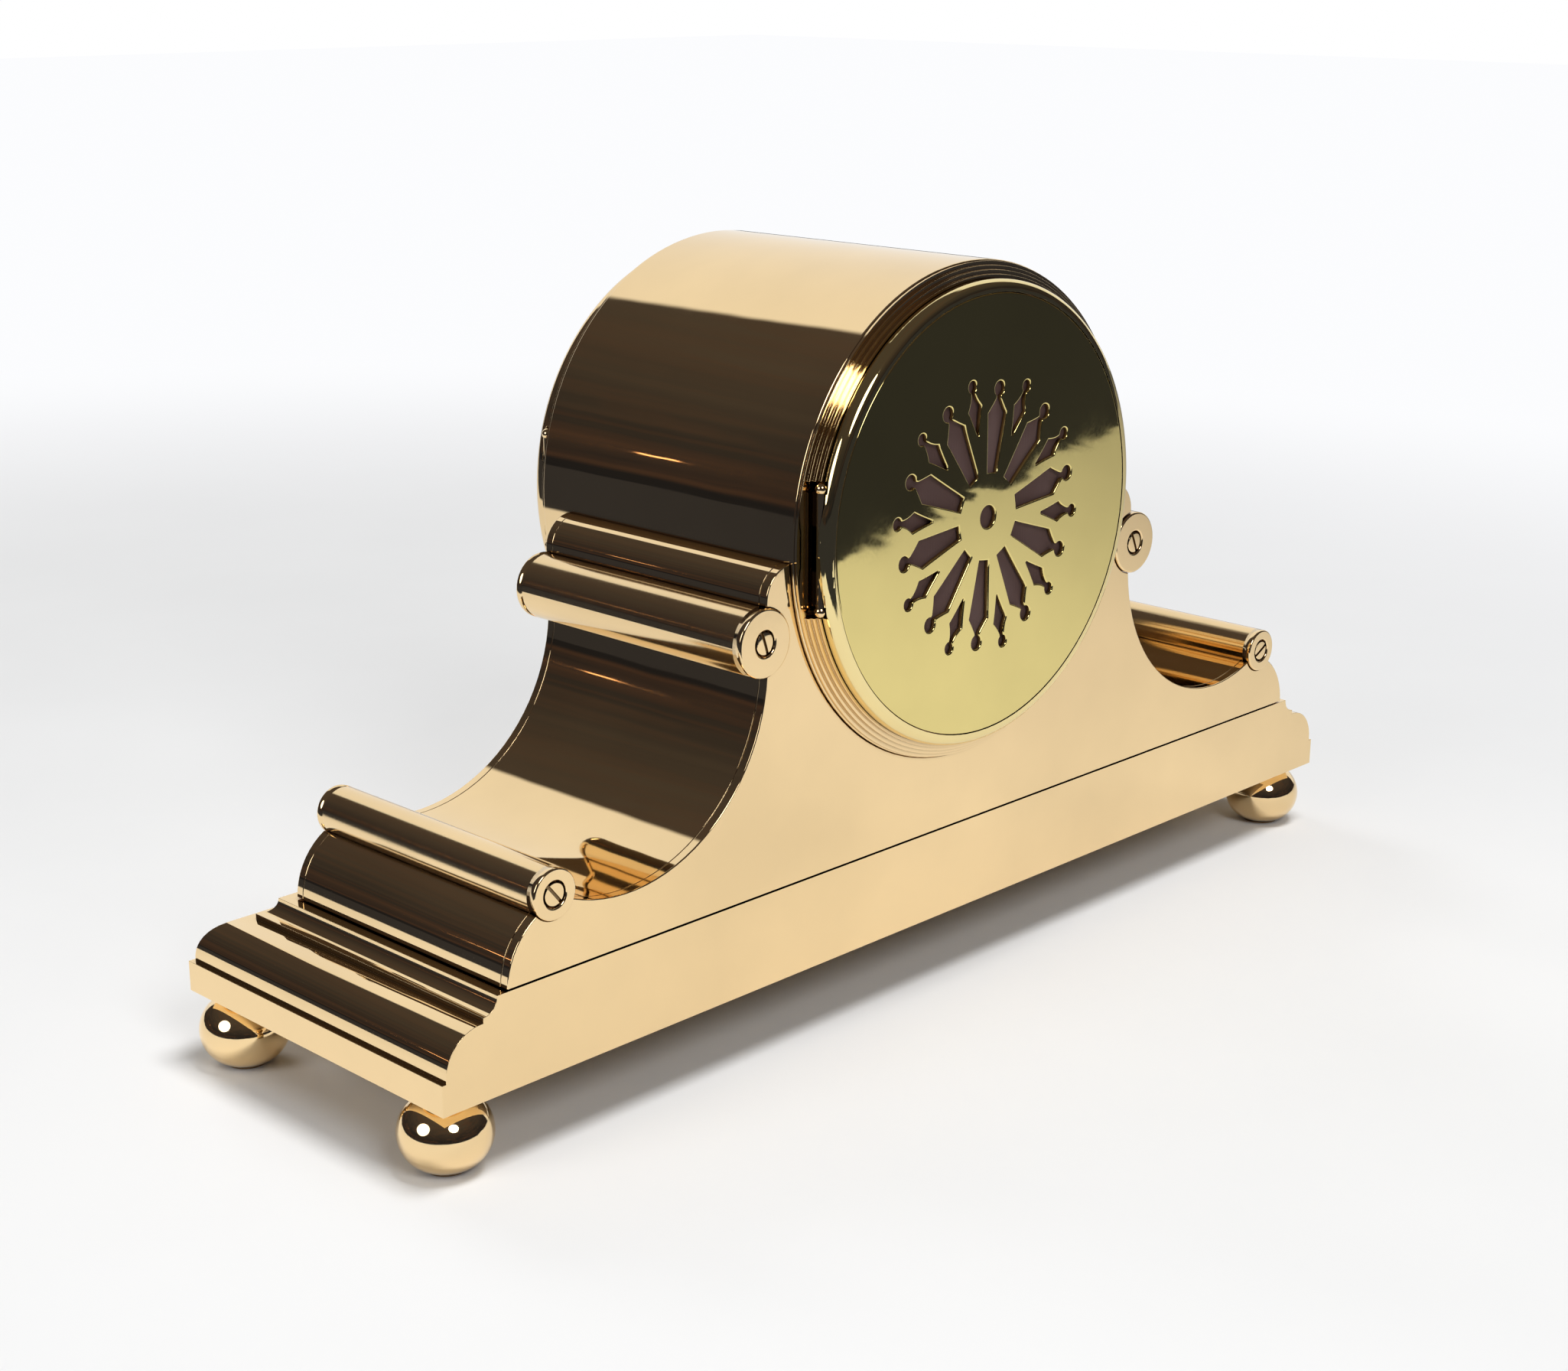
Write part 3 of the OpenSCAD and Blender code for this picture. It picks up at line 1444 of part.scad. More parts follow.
function click_place(s) = [s * (barrel_out + click_p[0]), click_p[1] - barrel_down];
module click(s) {
    // Drawn from the ratchet's middle, then moved so that the stud is at the origin
    boss = 1.8;
    v = [click_tip[0] - click_p[0], click_p[1] - click_tip[1]];
    color(steel_c) behind(ratchet_at, click_place(s)) linear_extrude(height = ratchet_t)
        mirror([s > 0 ? 0 : 1, 0]) difference() {
            union() {
                circle(r = boss);
                polygon([[-boss, 0], v, v + [boss / 2, 0], [boss, 0]]);
            }
            circle(r = stud_r + run);
        }
}
module time_click() click(1);
module strike_click() click(-1);

// Strike train
module strike_wheel() {
    lifting_pins = 8;
    pin_l = 2;
    color(brass_c) {
        wheel(second_at, wheel_t, pin_p, pin_teeth, pin_m, local_turn(pin_p, fly_p));
        pinion(great_at - end_shake, great_t + 2 * end_shake, pin_p, pin_leaves, barrel_m,
            gap_turn(pin_p, strike_p, pin_leaves));
        arbor(pin_p, between(fine_arbor_r));
        for (i = [0 : lifting_pins - 1])
            arbor(pin_p + polar(lifting_r, i * 360 / lifting_pins),
                [[second_at + wheel_t / 2, second_at + wheel_t + pin_l, pivot_r]]);
    }
}

module fly() {
    vane_r = 8;
    vane_l = 14;
    vane_t = 0.6;
    color(brass_c) {
        pinion(second_at - end_shake, wheel_t + 2 * end_shake, fly_p, fly_leaves, pin_m,
            gap_turn(fly_p, pin_p, fly_leaves));
        arbor(fly_p, between(fine_arbor_r));
        behind(vane_at, fly_p) translate([-vane_r, -vane_t / 2, 0]) cube([2 * vane_r, vane_t, vane_l]);
        arbor(fly_p, [[vane_at - over, vane_at + vane_l + over, arbor_r + vane_t]]);
    }
}

module hammer() {
    tail_at = second_at + wheel_t + 2 * end_shake;
    tail_t = 1.2;
    tail_w = 1.6;
    beam_t = 1.5;
    beam_w = 2;
    head_back = 2.5;
    tail_v = [tail_p[0] - hammer_p[0], hammer_p[1] - tail_p[1]];
    head_v = [head_p[0] - hammer_p[0], hammer_p[1] - head_p[1]];
    color(brass_c) {
        arbor(hammer_p, [[front_plate_at + end_shake, front_in_at + end_shake, pivot_r],
            [front_in_at + end_shake, arm_at + beam_t, hammer_arbor_r],
            [tail_at - end_shake, tail_at + tail_t, pipe_r],
            [arm_at - end_shake, arm_at + beam_t, pipe_r]]);
        behind(tail_at, hammer_p) linear_extrude(height = tail_t) bar_2d([0, 0], tail_v, tail_w);
        behind(arm_at, hammer_p) linear_extrude(height = beam_t) bar_2d([0, 0], head_v, beam_w);
        arbor(head_p, [[arm_at - head_back, arm_at + beam_t + head_back, hammer_head_r]]);
    }
}

base_moulding();
base_plate();
feet();
base_screws();
front_plate();
rear_plate();
end_covers();
sweep_left();
sweep_right();
shoulders();
case_floor();
tie_rods();
rod_caps();
rod_screws();
drum_shell();
rear_ring();
front_ring();
hinge_leaves();
hinge_pins();
rear_door_rim();
fret_plate();
sound_cloth();
cloth_ring();
front_bezel();
bezel_glass();
glass_ring();
dial_plate();
dial_numerals();
movement_front_plate();
movement_rear_plate();
pillars();
movement_straps();
movement_screws();
platform();
bell_post();
bell();
centre_wheel();
cannon_pinion();
minute_hand();
hour_wheel();
hour_hand();
minute_wheel();
second_wheel();
third_wheel();
fourth_wheel();
escape_wheel();
pallet_lever();
balance_wheel();
hairspring();
time_barrel();
time_mainspring();
time_arbor();
strike_barrel();
strike_mainspring();
strike_arbor();
strike_wheel();
fly();
hammer();
time_click();
strike_click();
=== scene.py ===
"""Polished brass tambour clock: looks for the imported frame."""
import json
import math

import bmesh
import bpy
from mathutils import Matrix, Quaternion, Vector

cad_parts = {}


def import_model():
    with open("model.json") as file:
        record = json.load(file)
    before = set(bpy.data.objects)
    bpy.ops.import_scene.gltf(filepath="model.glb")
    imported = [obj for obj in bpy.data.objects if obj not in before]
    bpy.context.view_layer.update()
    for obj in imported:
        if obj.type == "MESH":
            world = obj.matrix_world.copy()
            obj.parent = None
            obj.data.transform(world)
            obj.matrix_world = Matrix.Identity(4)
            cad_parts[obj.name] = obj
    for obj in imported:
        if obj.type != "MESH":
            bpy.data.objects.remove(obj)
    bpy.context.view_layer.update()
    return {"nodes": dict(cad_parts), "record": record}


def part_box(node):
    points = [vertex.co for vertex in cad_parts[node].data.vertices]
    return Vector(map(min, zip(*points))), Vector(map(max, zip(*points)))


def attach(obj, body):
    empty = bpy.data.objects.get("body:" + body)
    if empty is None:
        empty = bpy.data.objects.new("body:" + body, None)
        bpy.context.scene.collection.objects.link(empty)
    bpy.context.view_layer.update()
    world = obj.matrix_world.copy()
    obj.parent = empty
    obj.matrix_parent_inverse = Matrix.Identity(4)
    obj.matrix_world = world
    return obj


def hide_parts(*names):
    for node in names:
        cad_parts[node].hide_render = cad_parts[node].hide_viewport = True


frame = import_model()
nodes = frame["nodes"]
MM = 0.001

# Camera, fitted to the photograph
CAMERA_AT = Vector((546.9, 509.9, 307.1)) * MM
CAMERA_AIM = Vector((-0.3, -19.9, 78.4)) * MM
CAMERA_ROLL = math.radians(0.18)
CAMERA_LENS = 56.5
CAMERA_SENSOR = 36

# Tints
CASE_BRASS = (0.96, 0.72, 0.40)
FRET_BRASS = (0.82, 0.68, 0.27)
RIM_BRASS = (0.93, 0.76, 0.37)
RAW_BRASS = (0.34, 0.24, 0.13)
MOVEMENT_BRASS = (0.78, 0.62, 0.33)
# Painted shade: the colour that the brass takes in its corners and joints
CORNER_SHADE_TINT = (0.20, 0.11, 0.055)
STEEL = (0.56, 0.56, 0.57)
DARK_STEEL = (0.20, 0.21, 0.24)
BLUED_STEEL = (0.03, 0.05, 0.20)
BELL_METAL = (0.66, 0.63, 0.56)
DIAL_CREAM = (0.93, 0.89, 0.77)
NUMERAL_BLACK = (0.015, 0.014, 0.013)
CLOTH = (0.13, 0.055, 0.045)
GLASS = (0.97, 0.99, 0.98)


# Nodes
NOISE_AT = (0.35, 0.65)   # most values of a noise lie between these
MIX_FIRST = 6             # a Mix node's sockets for colours come after those for numbers and vectors
MIX_SECOND = 7
MIX_RESULT = 2


def new_material(name):
    """Material, its node tree and its shader."""
    material = bpy.data.materials.new(name)
    material.use_nodes = True
    tree = material.node_tree
    return material, tree, tree.nodes["Principled BSDF"]


def set_inputs(node, **inputs):
    """Sets a node's named inputs to numbers or colours."""
    for key, value in inputs.items():
        node.inputs[key.replace("_", " ")].default_value = value
    return node


def add(tree, kind, **inputs):
    return set_inputs(tree.nodes.new(kind), **inputs)


def feed(tree, value, socket):
    """Gives a socket its value: another socket, a colour or a number."""
    if isinstance(value, bpy.types.NodeSocket):
        tree.links.new(value, socket)
    elif isinstance(value, tuple):
        socket.default_value = (*value, 1)
    else:
        socket.default_value = value


def link_math(tree, operation, *values):
    """Math node on sockets or numbers."""
    node = tree.nodes.new("ShaderNodeMath")
    node.operation = operation
    for value, socket in zip(values, node.inputs):
        feed(tree, value, socket)
    return node.outputs[0]


def mixed(tree, factor, first, second):
    """Colour between first and second, which are sockets or colours."""
    node = tree.nodes.new("ShaderNodeMix")
    node.data_type = "RGBA"
    feed(tree, factor, node.inputs["Factor"])
    feed(tree, first, node.inputs[MIX_FIRST])
    feed(tree, second, node.inputs[MIX_SECOND])
    return node.outputs[MIX_RESULT]


def mixed_shaders(tree, factor, first, second):
    node = tree.nodes.new("ShaderNodeMixShader")
    for value, socket in zip((factor, first, second), node.inputs):
        tree.links.new(value, socket)
    return node.outputs[0]


def ramp(tree, source, low, high, at=NOISE_AT):
    """Colour ramp from low to high, between the source's two values at."""
    node = tree.nodes.new("ShaderNodeValToRGB")
    for element, place, value in zip(node.color_ramp.elements, at, (low, high)):
        element.position = place
        element.color = (*value, 1) if isinstance(value, tuple) else (value, value, value, 1)
    tree.links.new(source, node.inputs["Fac"])
    return node.outputs["Color"]


def fade(tree, value, low, high):
    """0 below low, 1 above high, and a smooth step between."""
    node = tree.nodes.new("ShaderNodeMapRange")
    node.interpolation_type = "SMOOTHSTEP"
    set_inputs(node, From_Min=low, From_Max=high)
    tree.links.new(value, node.inputs["Value"])
    return node.outputs[0]


def coordinates(tree, kind):
    return tree.nodes.new("ShaderNodeTexCoord").outputs[kind]


def stretched(tree, vector, scale):
    node = add(tree, "ShaderNodeMapping", Scale=scale)
    tree.links.new(vector, node.inputs["Vector"])
    return node.outputs["Vector"]


def noise(tree, vector, **settings):
    node = add(tree, "ShaderNodeTexNoise", **settings)
    tree.links.new(vector, node.inputs["Vector"])
    return node.outputs["Fac"]


def object_noise(tree, settings, stretch=(1, 1, 1)):
    """Noise in the object's own metres, stretched where a finish has a direction."""
    return noise(tree, stretched(tree, coordinates(tree, "Object"), stretch), **settings)


def bump(tree, height, strength, distance, under=None):
    """Normal of a bump whose distance is in mm, on top of the normal under."""
    node = add(tree, "ShaderNodeBump", Strength=strength, Distance=distance * MM)
    tree.links.new(height, node.inputs["Height"])
    if under is not None:
        tree.links.new(under, node.inputs["Normal"])
    return node.outputs["Normal"]


def shade(colour, factor):
    return tuple(c * factor for c in colour)


# Finish of the metals, and the painted shade in their corners. A noise's scale is about its number of patches
# in a metre
CLOUDS = {"Scale": 14, "Detail": 4}
TARNISH = 0.90            # share of the tint that is left where the metal is dullest
LINES = {"Scale": 900, "Detail": 2}
LINE_DEPTH = 0.02         # depth of the polishing lines, in mm
WAVES = {"Scale": 22, "Detail": 2}
WAVE = 0.15               # height of the polished surface's waviness, in mm
SMUDGES = {"Scale": 32, "Detail": 3}
SMUDGE_STRETCH = (1, 1, 2.5)
SMUDGE_AT = (0.48, 0.72)  # values of the noise where a smudge begins and is full
SMUDGE = 0.03             # added roughness where a cloth or a hand has passed
CORNER_SHADE_REACH = 2.4             # reach of the painted shade in the corners, in mm
CORNER_SHADE_AT = (0.30, 0.80)  # openness of a corner where the painted shade is full and where it ends
CORNER_SHADE_SAMPLES = 6


def tarnish_and_corner_shade(tree, tint, shaded_corners):
    """Tint with faint clouds, and with painted shade darkening its corners and joints."""
    unshaded_tint = ramp(tree, object_noise(tree, CLOUDS), shade(tint, TARNISH), tint)
    if not shaded_corners:
        return unshaded_tint
    # Painted shade: the tint darkens where the ambient occlusion finds a corner or joint closed in
    corner = add(tree, "ShaderNodeAmbientOcclusion", Distance=CORNER_SHADE_REACH * MM)
    corner.samples = CORNER_SHADE_SAMPLES
    return mixed(tree, ramp(tree, corner.outputs["AO"], 0.0, 1.0, CORNER_SHADE_AT), CORNER_SHADE_TINT, unshaded_tint)


def metal(name, tint, rough, spread, grain=(1, 1, 1), grain_strength=0.02, shaded_corners=False):
    """Polished or brushed metal with polishing lines, smudges and slight waves, and with painted shade in its
    corners where asked.

    Its roughness varies by spread, and its lines run along the axes on which grain is low.
    """
    material, tree, shader = new_material(name)
    set_inputs(shader, Metallic=1.0)
    tree.links.new(tarnish_and_corner_shade(tree, tint, shaded_corners), shader.inputs["Base Color"])
    lines = object_noise(tree, LINES, grain)
    wiped = object_noise(tree, SMUDGES, SMUDGE_STRETCH)
    smudge = ramp(tree, wiped, 0.0, SMUDGE, SMUDGE_AT)
    gloss = ramp(tree, lines, rough, rough + spread)
    tree.links.new(link_math(tree, "ADD", gloss, smudge), shader.inputs["Roughness"])
    # Hand polishing leaves the surface very slightly wavy, which bends the reflections
    swell = bump(tree, object_noise(tree, WAVES), 1.0, WAVE)
    fine = bump(tree, lines, grain_strength, LINE_DEPTH, swell)
    tree.links.new(fine, shader.inputs["Normal"])
    return material


THREADS = {"Scale": 260, "Distortion": 0.6, "Detail": 1}
THREAD_AT = (0.1, 0.7)    # heights of the weave between which painted shade turns to painted highlight
# shares of the cloth's colour: painted shade in the weave's low places and painted highlight on its crests
THREAD_SHADE_AND_HIGHLIGHT = (0.55, 1.5)
CLOTH_ROUGH = 0.9
CLOTH_SHEEN = 0.25
CLOTH_BUMP = 0.6
CLOTH_DEPTH = 0.2         # in mm


def cloth_material():
    """Thin plain-woven cloth, raised where the threads of both directions cross, with painted shade where the
    weave is low and a painted highlight where it is high.
    """
    material, tree, shader = new_material("sound_cloth")
    place = coordinates(tree, "Object")
    heights = []
    for direction in ("X", "Z"):
        wave = add(tree, "ShaderNodeTexWave", **THREADS)
        wave.bands_direction = direction
        tree.links.new(place, wave.inputs["Vector"])
        heights.append(wave.outputs["Fac"])
    weave = link_math(tree, "MULTIPLY", *heights)
    # Painted shade and highlight: the colour is darker where the weave is low and lighter where it is high
    dark, light = [shade(CLOTH, factor) for factor in THREAD_SHADE_AND_HIGHLIGHT]
    tree.links.new(ramp(tree, weave, dark, light, THREAD_AT), shader.inputs["Base Color"])
    set_inputs(shader, Roughness=CLOTH_ROUGH, Sheen_Weight=CLOTH_SHEEN)
    tree.links.new(bump(tree, weave, CLOTH_BUMP, CLOTH_DEPTH), shader.inputs["Normal"])
    return material


MOTTLE = {"Scale": 60, "Detail": 4}
MOTTLE_SHADE = 0.93       # share of the tint that is left where the paint is darkest
BRUSH = {"Scale": 700, "Detail": 2}
PAINT_SPREAD = 0.12       # by which the roughness of the paint varies
PAINT_BUMP = 0.05
PAINT_DEPTH = 0.05        # in mm


def paint(name, tint, rough):
    """Slightly mottled paint or enamel."""
    material, tree, shader = new_material(name)
    mottled = ramp(tree, object_noise(tree, MOTTLE), shade(tint, MOTTLE_SHADE), tint)
    tree.links.new(mottled, shader.inputs["Base Color"])
    fine = object_noise(tree, BRUSH)
    tree.links.new(ramp(tree, fine, rough, rough + PAINT_SPREAD), shader.inputs["Roughness"])
    tree.links.new(bump(tree, fine, PAINT_BUMP, PAINT_DEPTH), shader.inputs["Normal"])
    return material


GLASS_IOR = 1.45
SMEARS = {"Scale": 40, "Detail": 3}
SMEAR = 0.03              # roughness of the glass where it is smeared most


def glass_material():
    """Clear glass with faint smears."""
    material, tree, shader = new_material("bezel_glass")
    set_inputs(shader, Base_Color=(*GLASS, 1), Transmission_Weight=1.0, IOR=GLASS_IOR)
    tree.links.new(ramp(tree, object_noise(tree, SMEARS), 0.0, SMEAR), shader.inputs["Roughness"])
    return material


# Materials
# The brasses marked for it below get painted shade in their corners and joints
polished = metal("polished_brass", CASE_BRASS, 0.022, 0.02, (1, 30, 30), 0.003, shaded_corners=True)
turned = metal("turned_brass", CASE_BRASS, 0.03, 0.03, (1, 40, 1), 0.01, shaded_corners=True)
satin = metal("satin_brass", CASE_BRASS, 0.16, 0.08, (30, 1, 1))
rod_brass = metal("rod_brass", CASE_BRASS, 0.10, 0.06, (40, 1, 40), shaded_corners=True)
fret_brass = metal("pierced_brass", FRET_BRASS, 0.018, 0.015, (1, 1, 40), 0.006, shaded_corners=True)
rim_brass = metal("rim_brass", RIM_BRASS, 0.025, 0.03, (1, 40, 1), 0.01, shaded_corners=True)
cap_brass = metal("cap_brass", CASE_BRASS, 0.06, 0.05, (30, 1, 1), shaded_corners=True)
raw_brass = metal("raw_brass", RAW_BRASS, 0.42, 0.12, (30, 1, 1))
movement_brass = metal("movement_brass", MOVEMENT_BRASS, 0.24, 0.12, (1, 1, 40))
steel = metal("steel", STEEL, 0.22, 0.1)
dark_steel = metal("spring_steel", DARK_STEEL, 0.30, 0.1)
blued_steel = metal("blued_steel", BLUED_STEEL, 0.16, 0.1)
bell_metal = metal("bell_metal", BELL_METAL, 0.2, 0.1)
dial_paint = paint("dial_cream", DIAL_CREAM, 0.42)
numeral_paint = paint("numeral_black", NUMERAL_BLACK, 0.38)
cloth = cloth_material()
glass = glass_material()

MATERIAL_OF_SLOT = {
    "case_brass": polished, "fret_brass": fret_brass, "cloth": cloth, "glass": glass, "dial": dial_paint,
    "black_paint": numeral_paint, "blued_steel": blued_steel, "steel": steel, "spring_steel": dark_steel,
    "bell_metal": bell_metal, "movement_brass": movement_brass,
}
MATERIAL_OF_NODE = {
    "tie_rods": rod_brass, "rod_caps": cap_brass, "feet": turned, "base_plate": raw_brass,
    "rear_door_rim": rim_brass, "rear_ring": turned, "front_ring": turned, "case_floor": satin,
}
SLOT_OF_NODE = {s["node"]: s["material_slot"] for s in frame["record"]["subparts"]}
BODY_OF_NODE = {node: body for body, held in frame["record"]["behaviour"]["bodies"].items() for node in held}

# Edges
WELD = 0.002              # reach of the weld, in mm
FLAT = 0.3                # facets closer than this, in degrees, are one flat
SHARP = 32                # edges that turn by more than this, in degrees, are sharp
EDGE_SEGMENTS = 3
OUTER_RIMS = ("rod_caps",)  # these meet their neighbours sharp, and only their outer rims are rounded

# Rounding of each node's edges, in mm
EDGE_OF_NODE = {
    "base_moulding": 0.35, "feet": 0.2, "base_plate": 0.3, "base_screws": 0.1,
    "front_plate": 0.35, "rear_plate": 0.35, "sweep_left": 0.12, "sweep_right": 0.12, "shoulders": 0.12,
    "end_covers": 0.12, "rod_caps": 0.6,
    "drum_shell": 0.5, "rear_ring": 0.1, "front_ring": 0.1, "rear_door_rim": 0.12, "hinge_leaves": 0.1,
    "cloth_ring": 0.15, "front_bezel": 0.25, "glass_ring": 0.1,
    "hour_hand": 0.14, "minute_hand": 0.12, "dial_plate": 0.1, "bell": 0.15,
    "movement_front_plate": 0.2, "movement_rear_plate": 0.2, "pillars": 0.15, "movement_screws": 0.1,
    "time_barrel": 0.15, "strike_barrel": 0.15,
}


def smooth(obj):
    """Smooth shading that keeps the sharp edges. Stored corner normals go, as they don't outlive a weld."""
    mesh = obj.data
    if mesh.has_custom_normals:
        mesh.attributes.remove(mesh.attributes["custom_normal"])
    mesh.shade_smooth()
    mesh.set_sharp_from_angle(angle=math.radians(SHARP))


def mark_outer_rims(obj, node):
    """Marks the edges round a node's outermost faces in Y, where each face still has a border of its own."""
    low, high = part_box(node)

    def outermost(vert):
        return min(vert.co.y - low[1], high[1] - vert.co.y) < WELD * MM

    bm = bmesh.new()
    bm.from_mesh(obj.data)
    rims = [edge.index for edge in bm.edges if edge.is_boundary and all(outermost(v) for v in edge.verts)]
    bm.free()
    weights = obj.data.attributes.new("bevel_weight_edge", "FLOAT", "EDGE")
    for i in rims:
        weights.data[i].value = 1.0


def break_edges(obj, width, marked=False):
    """Small rounding of the sharp edges, or of the marked ones, as polishing leaves it.

    The solids come split along their faces' borders, so they are welded first.
    """
    weld = obj.modifiers.new("welded", "WELD")
    weld.merge_threshold = WELD * MM
    flats = obj.modifiers.new("whole_flats", "DECIMATE")
    flats.decimate_type = "DISSOLVE"
    flats.angle_limit = math.radians(FLAT)
    bevel = obj.modifiers.new("broken_edges", "BEVEL")
    bevel.width = width * MM
    bevel.segments = EDGE_SEGMENTS
    bevel.limit_method = "WEIGHT" if marked else "ANGLE"
    bevel.angle_limit = math.radians(SHARP)
    bevel.harden_normals = True
    bevel.use_clamp_overlap = True


for name, obj in nodes.items():
    obj.data.materials.clear()
    obj.data.materials.append(MATERIAL_OF_NODE.get(name, MATERIAL_OF_SLOT[SLOT_OF_NODE[name]]))
    smooth(obj)
    if name in OUTER_RIMS:
        mark_outer_rims(obj, name)
    if name in EDGE_OF_NODE:
        break_edges(obj, EDGE_OF_NODE[name], marked=name in OUTER_RIMS)


# Pieces
def middle_of(node):
    low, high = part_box(node)
    return (Vector(low) + Vector(high)) / 2


def finish_piece(obj, material, body, stands_for):
    bpy.context.scene.collection.objects.link(obj)
    obj.data.materials.append(material)
    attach(obj, body)
    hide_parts(stands_for)


def flat_piece(name, outlines, thickness, rounding, resolution):
    """Plate in X and Z with rounded edges, from outlines in mm, of which the inner ones are holes."""
    curve = bpy.data.curves.new(name, "CURVE")
    curve.dimensions = "2D"
    curve.fill_mode = "BOTH"
    for points in outlines:
        spline = curve.splines.new("POLY")
        spline.points.add(len(points) - 1)
        for place, (x, y) in zip(spline.points, points):
            place.co = (x * MM, y * MM, 0, 1)
        spline.use_cyclic_u = True
    curve.extrude = (thickness / 2 - rounding) * MM
    curve.bevel_depth = rounding * MM
    curve.bevel_resolution = resolution
    curve.offset = -rounding * MM
    obj = bpy.data.objects.new(name, curve)
    obj.rotation_euler = (math.pi / 2, 0, 0)
    return obj


def arc(x, y, r, start, end, steps):
    """Points on an arc, with the angles in degrees."""
    turns = [math.radians(start + (end - start) * i / steps) for i in range(steps + 1)]
    return [(x + r * math.cos(t), y + r * math.sin(t)) for t in turns]


def ring_of(r, steps):
    return arc(0, 0, r, 0, 360, steps)[:-1]


def turned_points(points, degrees):
    c, s = math.cos(math.radians(degrees)), math.sin(math.radians(degrees))
    return [(x * c - y * s, x * s + y * c) for x, y in points]


# Piercings of the rear door. Radii and at are in mm, heights are shares of at, widths are shares of bulb_r
LARGE_DART = {"bulb_r": 2.2, "at": 37.6, "neck": 0.925, "shoulder": 0.807, "end": 0.345,
              "neck_w": 0.4, "shoulder_w": 1.9, "end_w": 0.95, "pull": 0.08}
SMALL_DART = {"bulb_r": 1.75, "at": 40.1, "neck": 0.94, "shoulder": 0.83, "end": 0.625,
              "neck_w": 0.4, "shoulder_w": 1.65, "end_w": 0.12, "pull": 0.34}
NECK_FLARE = 1.05         # by which a neck is wider at its foot
BEND_STEPS = 8
BULB_STEPS = 24
PETALS = 10
PATTERN_TURN = 6          # of the first large dart from the top, in degrees
FRET_SLACK = 0.1          # by which its radius is less than the node's, in mm
FRET_HOLE_R = 3.4
FRET_STEPS = 256
FRET_HOLE_STEPS = 48
FRET_ROUND = 0.42
FRET_ROUND_STEPS = 4


def bent(a, b, pull):
    """Points from a to b, drawn in towards the axis by the share pull; b itself is left out."""
    mid = ((a[0] + b[0]) / 2 * (1 - pull), (a[1] + b[1]) / 2)
    points = []
    for i in range(BEND_STEPS):
        t = i / BEND_STEPS
        points.append(tuple((1 - t) ** 2 * a[k] + 2 * t * (1 - t) * mid[k] + t * t * b[k] for k in (0, 1)))
    return points


def dart(bulb_r, at, neck, shoulder, end, neck_w, shoulder_w, end_w, pull):
    """One piercing, pointing up: bulb, neck, shoulder and a tapered end that is drawn in a third as much."""
    w = neck_w * bulb_r
    under = math.degrees(math.asin(neck_w))
    neck_foot = (w * NECK_FLARE, at * neck)
    widest = (shoulder_w * bulb_r, at * shoulder)
    tip = (end_w * bulb_r, at * end)
    side = [(w, at - math.sqrt(bulb_r ** 2 - w ** 2)), neck_foot]
    side += bent(neck_foot, widest, pull)[1:]
    side += bent(widest, tip, pull / 3)
    side += [tip]
    other = [(-x, y) for x, y in reversed(side)]
    return side + other + arc(0, at, bulb_r, 270 - under, under - 90, BULB_STEPS)[1:-1]


def pierced_plate():
    """Plate of the rear door with its two rings of darts and the hole in its middle."""
    low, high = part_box("fret_plate")
    radius = (high[0] - low[0]) / 2 / MM
    outlines = [ring_of(radius - FRET_SLACK, FRET_STEPS), ring_of(FRET_HOLE_R, FRET_HOLE_STEPS)]
    for i in range(PETALS):
        turn = PATTERN_TURN + 360 / PETALS * i
        outlines.append(turned_points(dart(**LARGE_DART), turn))
        outlines.append(turned_points(dart(**SMALL_DART), turn + 180 / PETALS))
    plate = flat_piece("pierced_plate", outlines, (high[1] - low[1]) / MM, FRET_ROUND, FRET_ROUND_STEPS)
    plate.location = middle_of("fret_plate")
    finish_piece(plate, fret_brass, "rear_door", "fret_plate")


CLOTH_SLACK = 0.1         # by which its radius is less than the node's, in mm
CLOTH_BEHIND = 0.15       # from the node's rear face to the cloth's middle, in mm
CLOTH_UNEVEN = 0.12       # height of its unevenness, in mm
CLOTH_WAVE_X = 0.31       # of the unevenness, in radians for each mm
CLOTH_WAVE_Y = 0.23
CLOTH_SHIFT_X = 0.6
CLOTH_SEGMENTS = 96
CLOTH_CUTS = 15


def woven_cloth():
    """Cloth stretched behind the piercing, with a slight unevenness."""
    low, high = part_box("sound_cloth")
    radius = (high[0] - low[0]) / 2 - CLOTH_SLACK * MM
    middle = middle_of("sound_cloth")
    bm = bmesh.new()
    bmesh.ops.create_circle(bm, cap_ends=True, cap_tris=True, radius=radius, segments=CLOTH_SEGMENTS)
    bmesh.ops.subdivide_edges(bm, edges=bm.edges, cuts=CLOTH_CUTS, use_grid_fill=True)
    for v in bm.verts:
        x, y = v.co.x / MM, v.co.y / MM
        swell = math.sin(x * CLOTH_WAVE_X + CLOTH_SHIFT_X) * math.sin(y * CLOTH_WAVE_Y)
        v.co.z = CLOTH_UNEVEN * MM * swell
    mesh = bpy.data.meshes.new("woven_cloth")
    bm.to_mesh(mesh)
    bm.free()
    mesh.shade_smooth()
    obj = bpy.data.objects.new("woven_cloth", mesh)
    obj.location = (middle.x, high[1] - CLOTH_BEHIND * MM, middle.z)
    obj.rotation_euler = (math.pi / 2, 0, 0)
    finish_piece(obj, cloth, "rear_door", "sound_cloth")


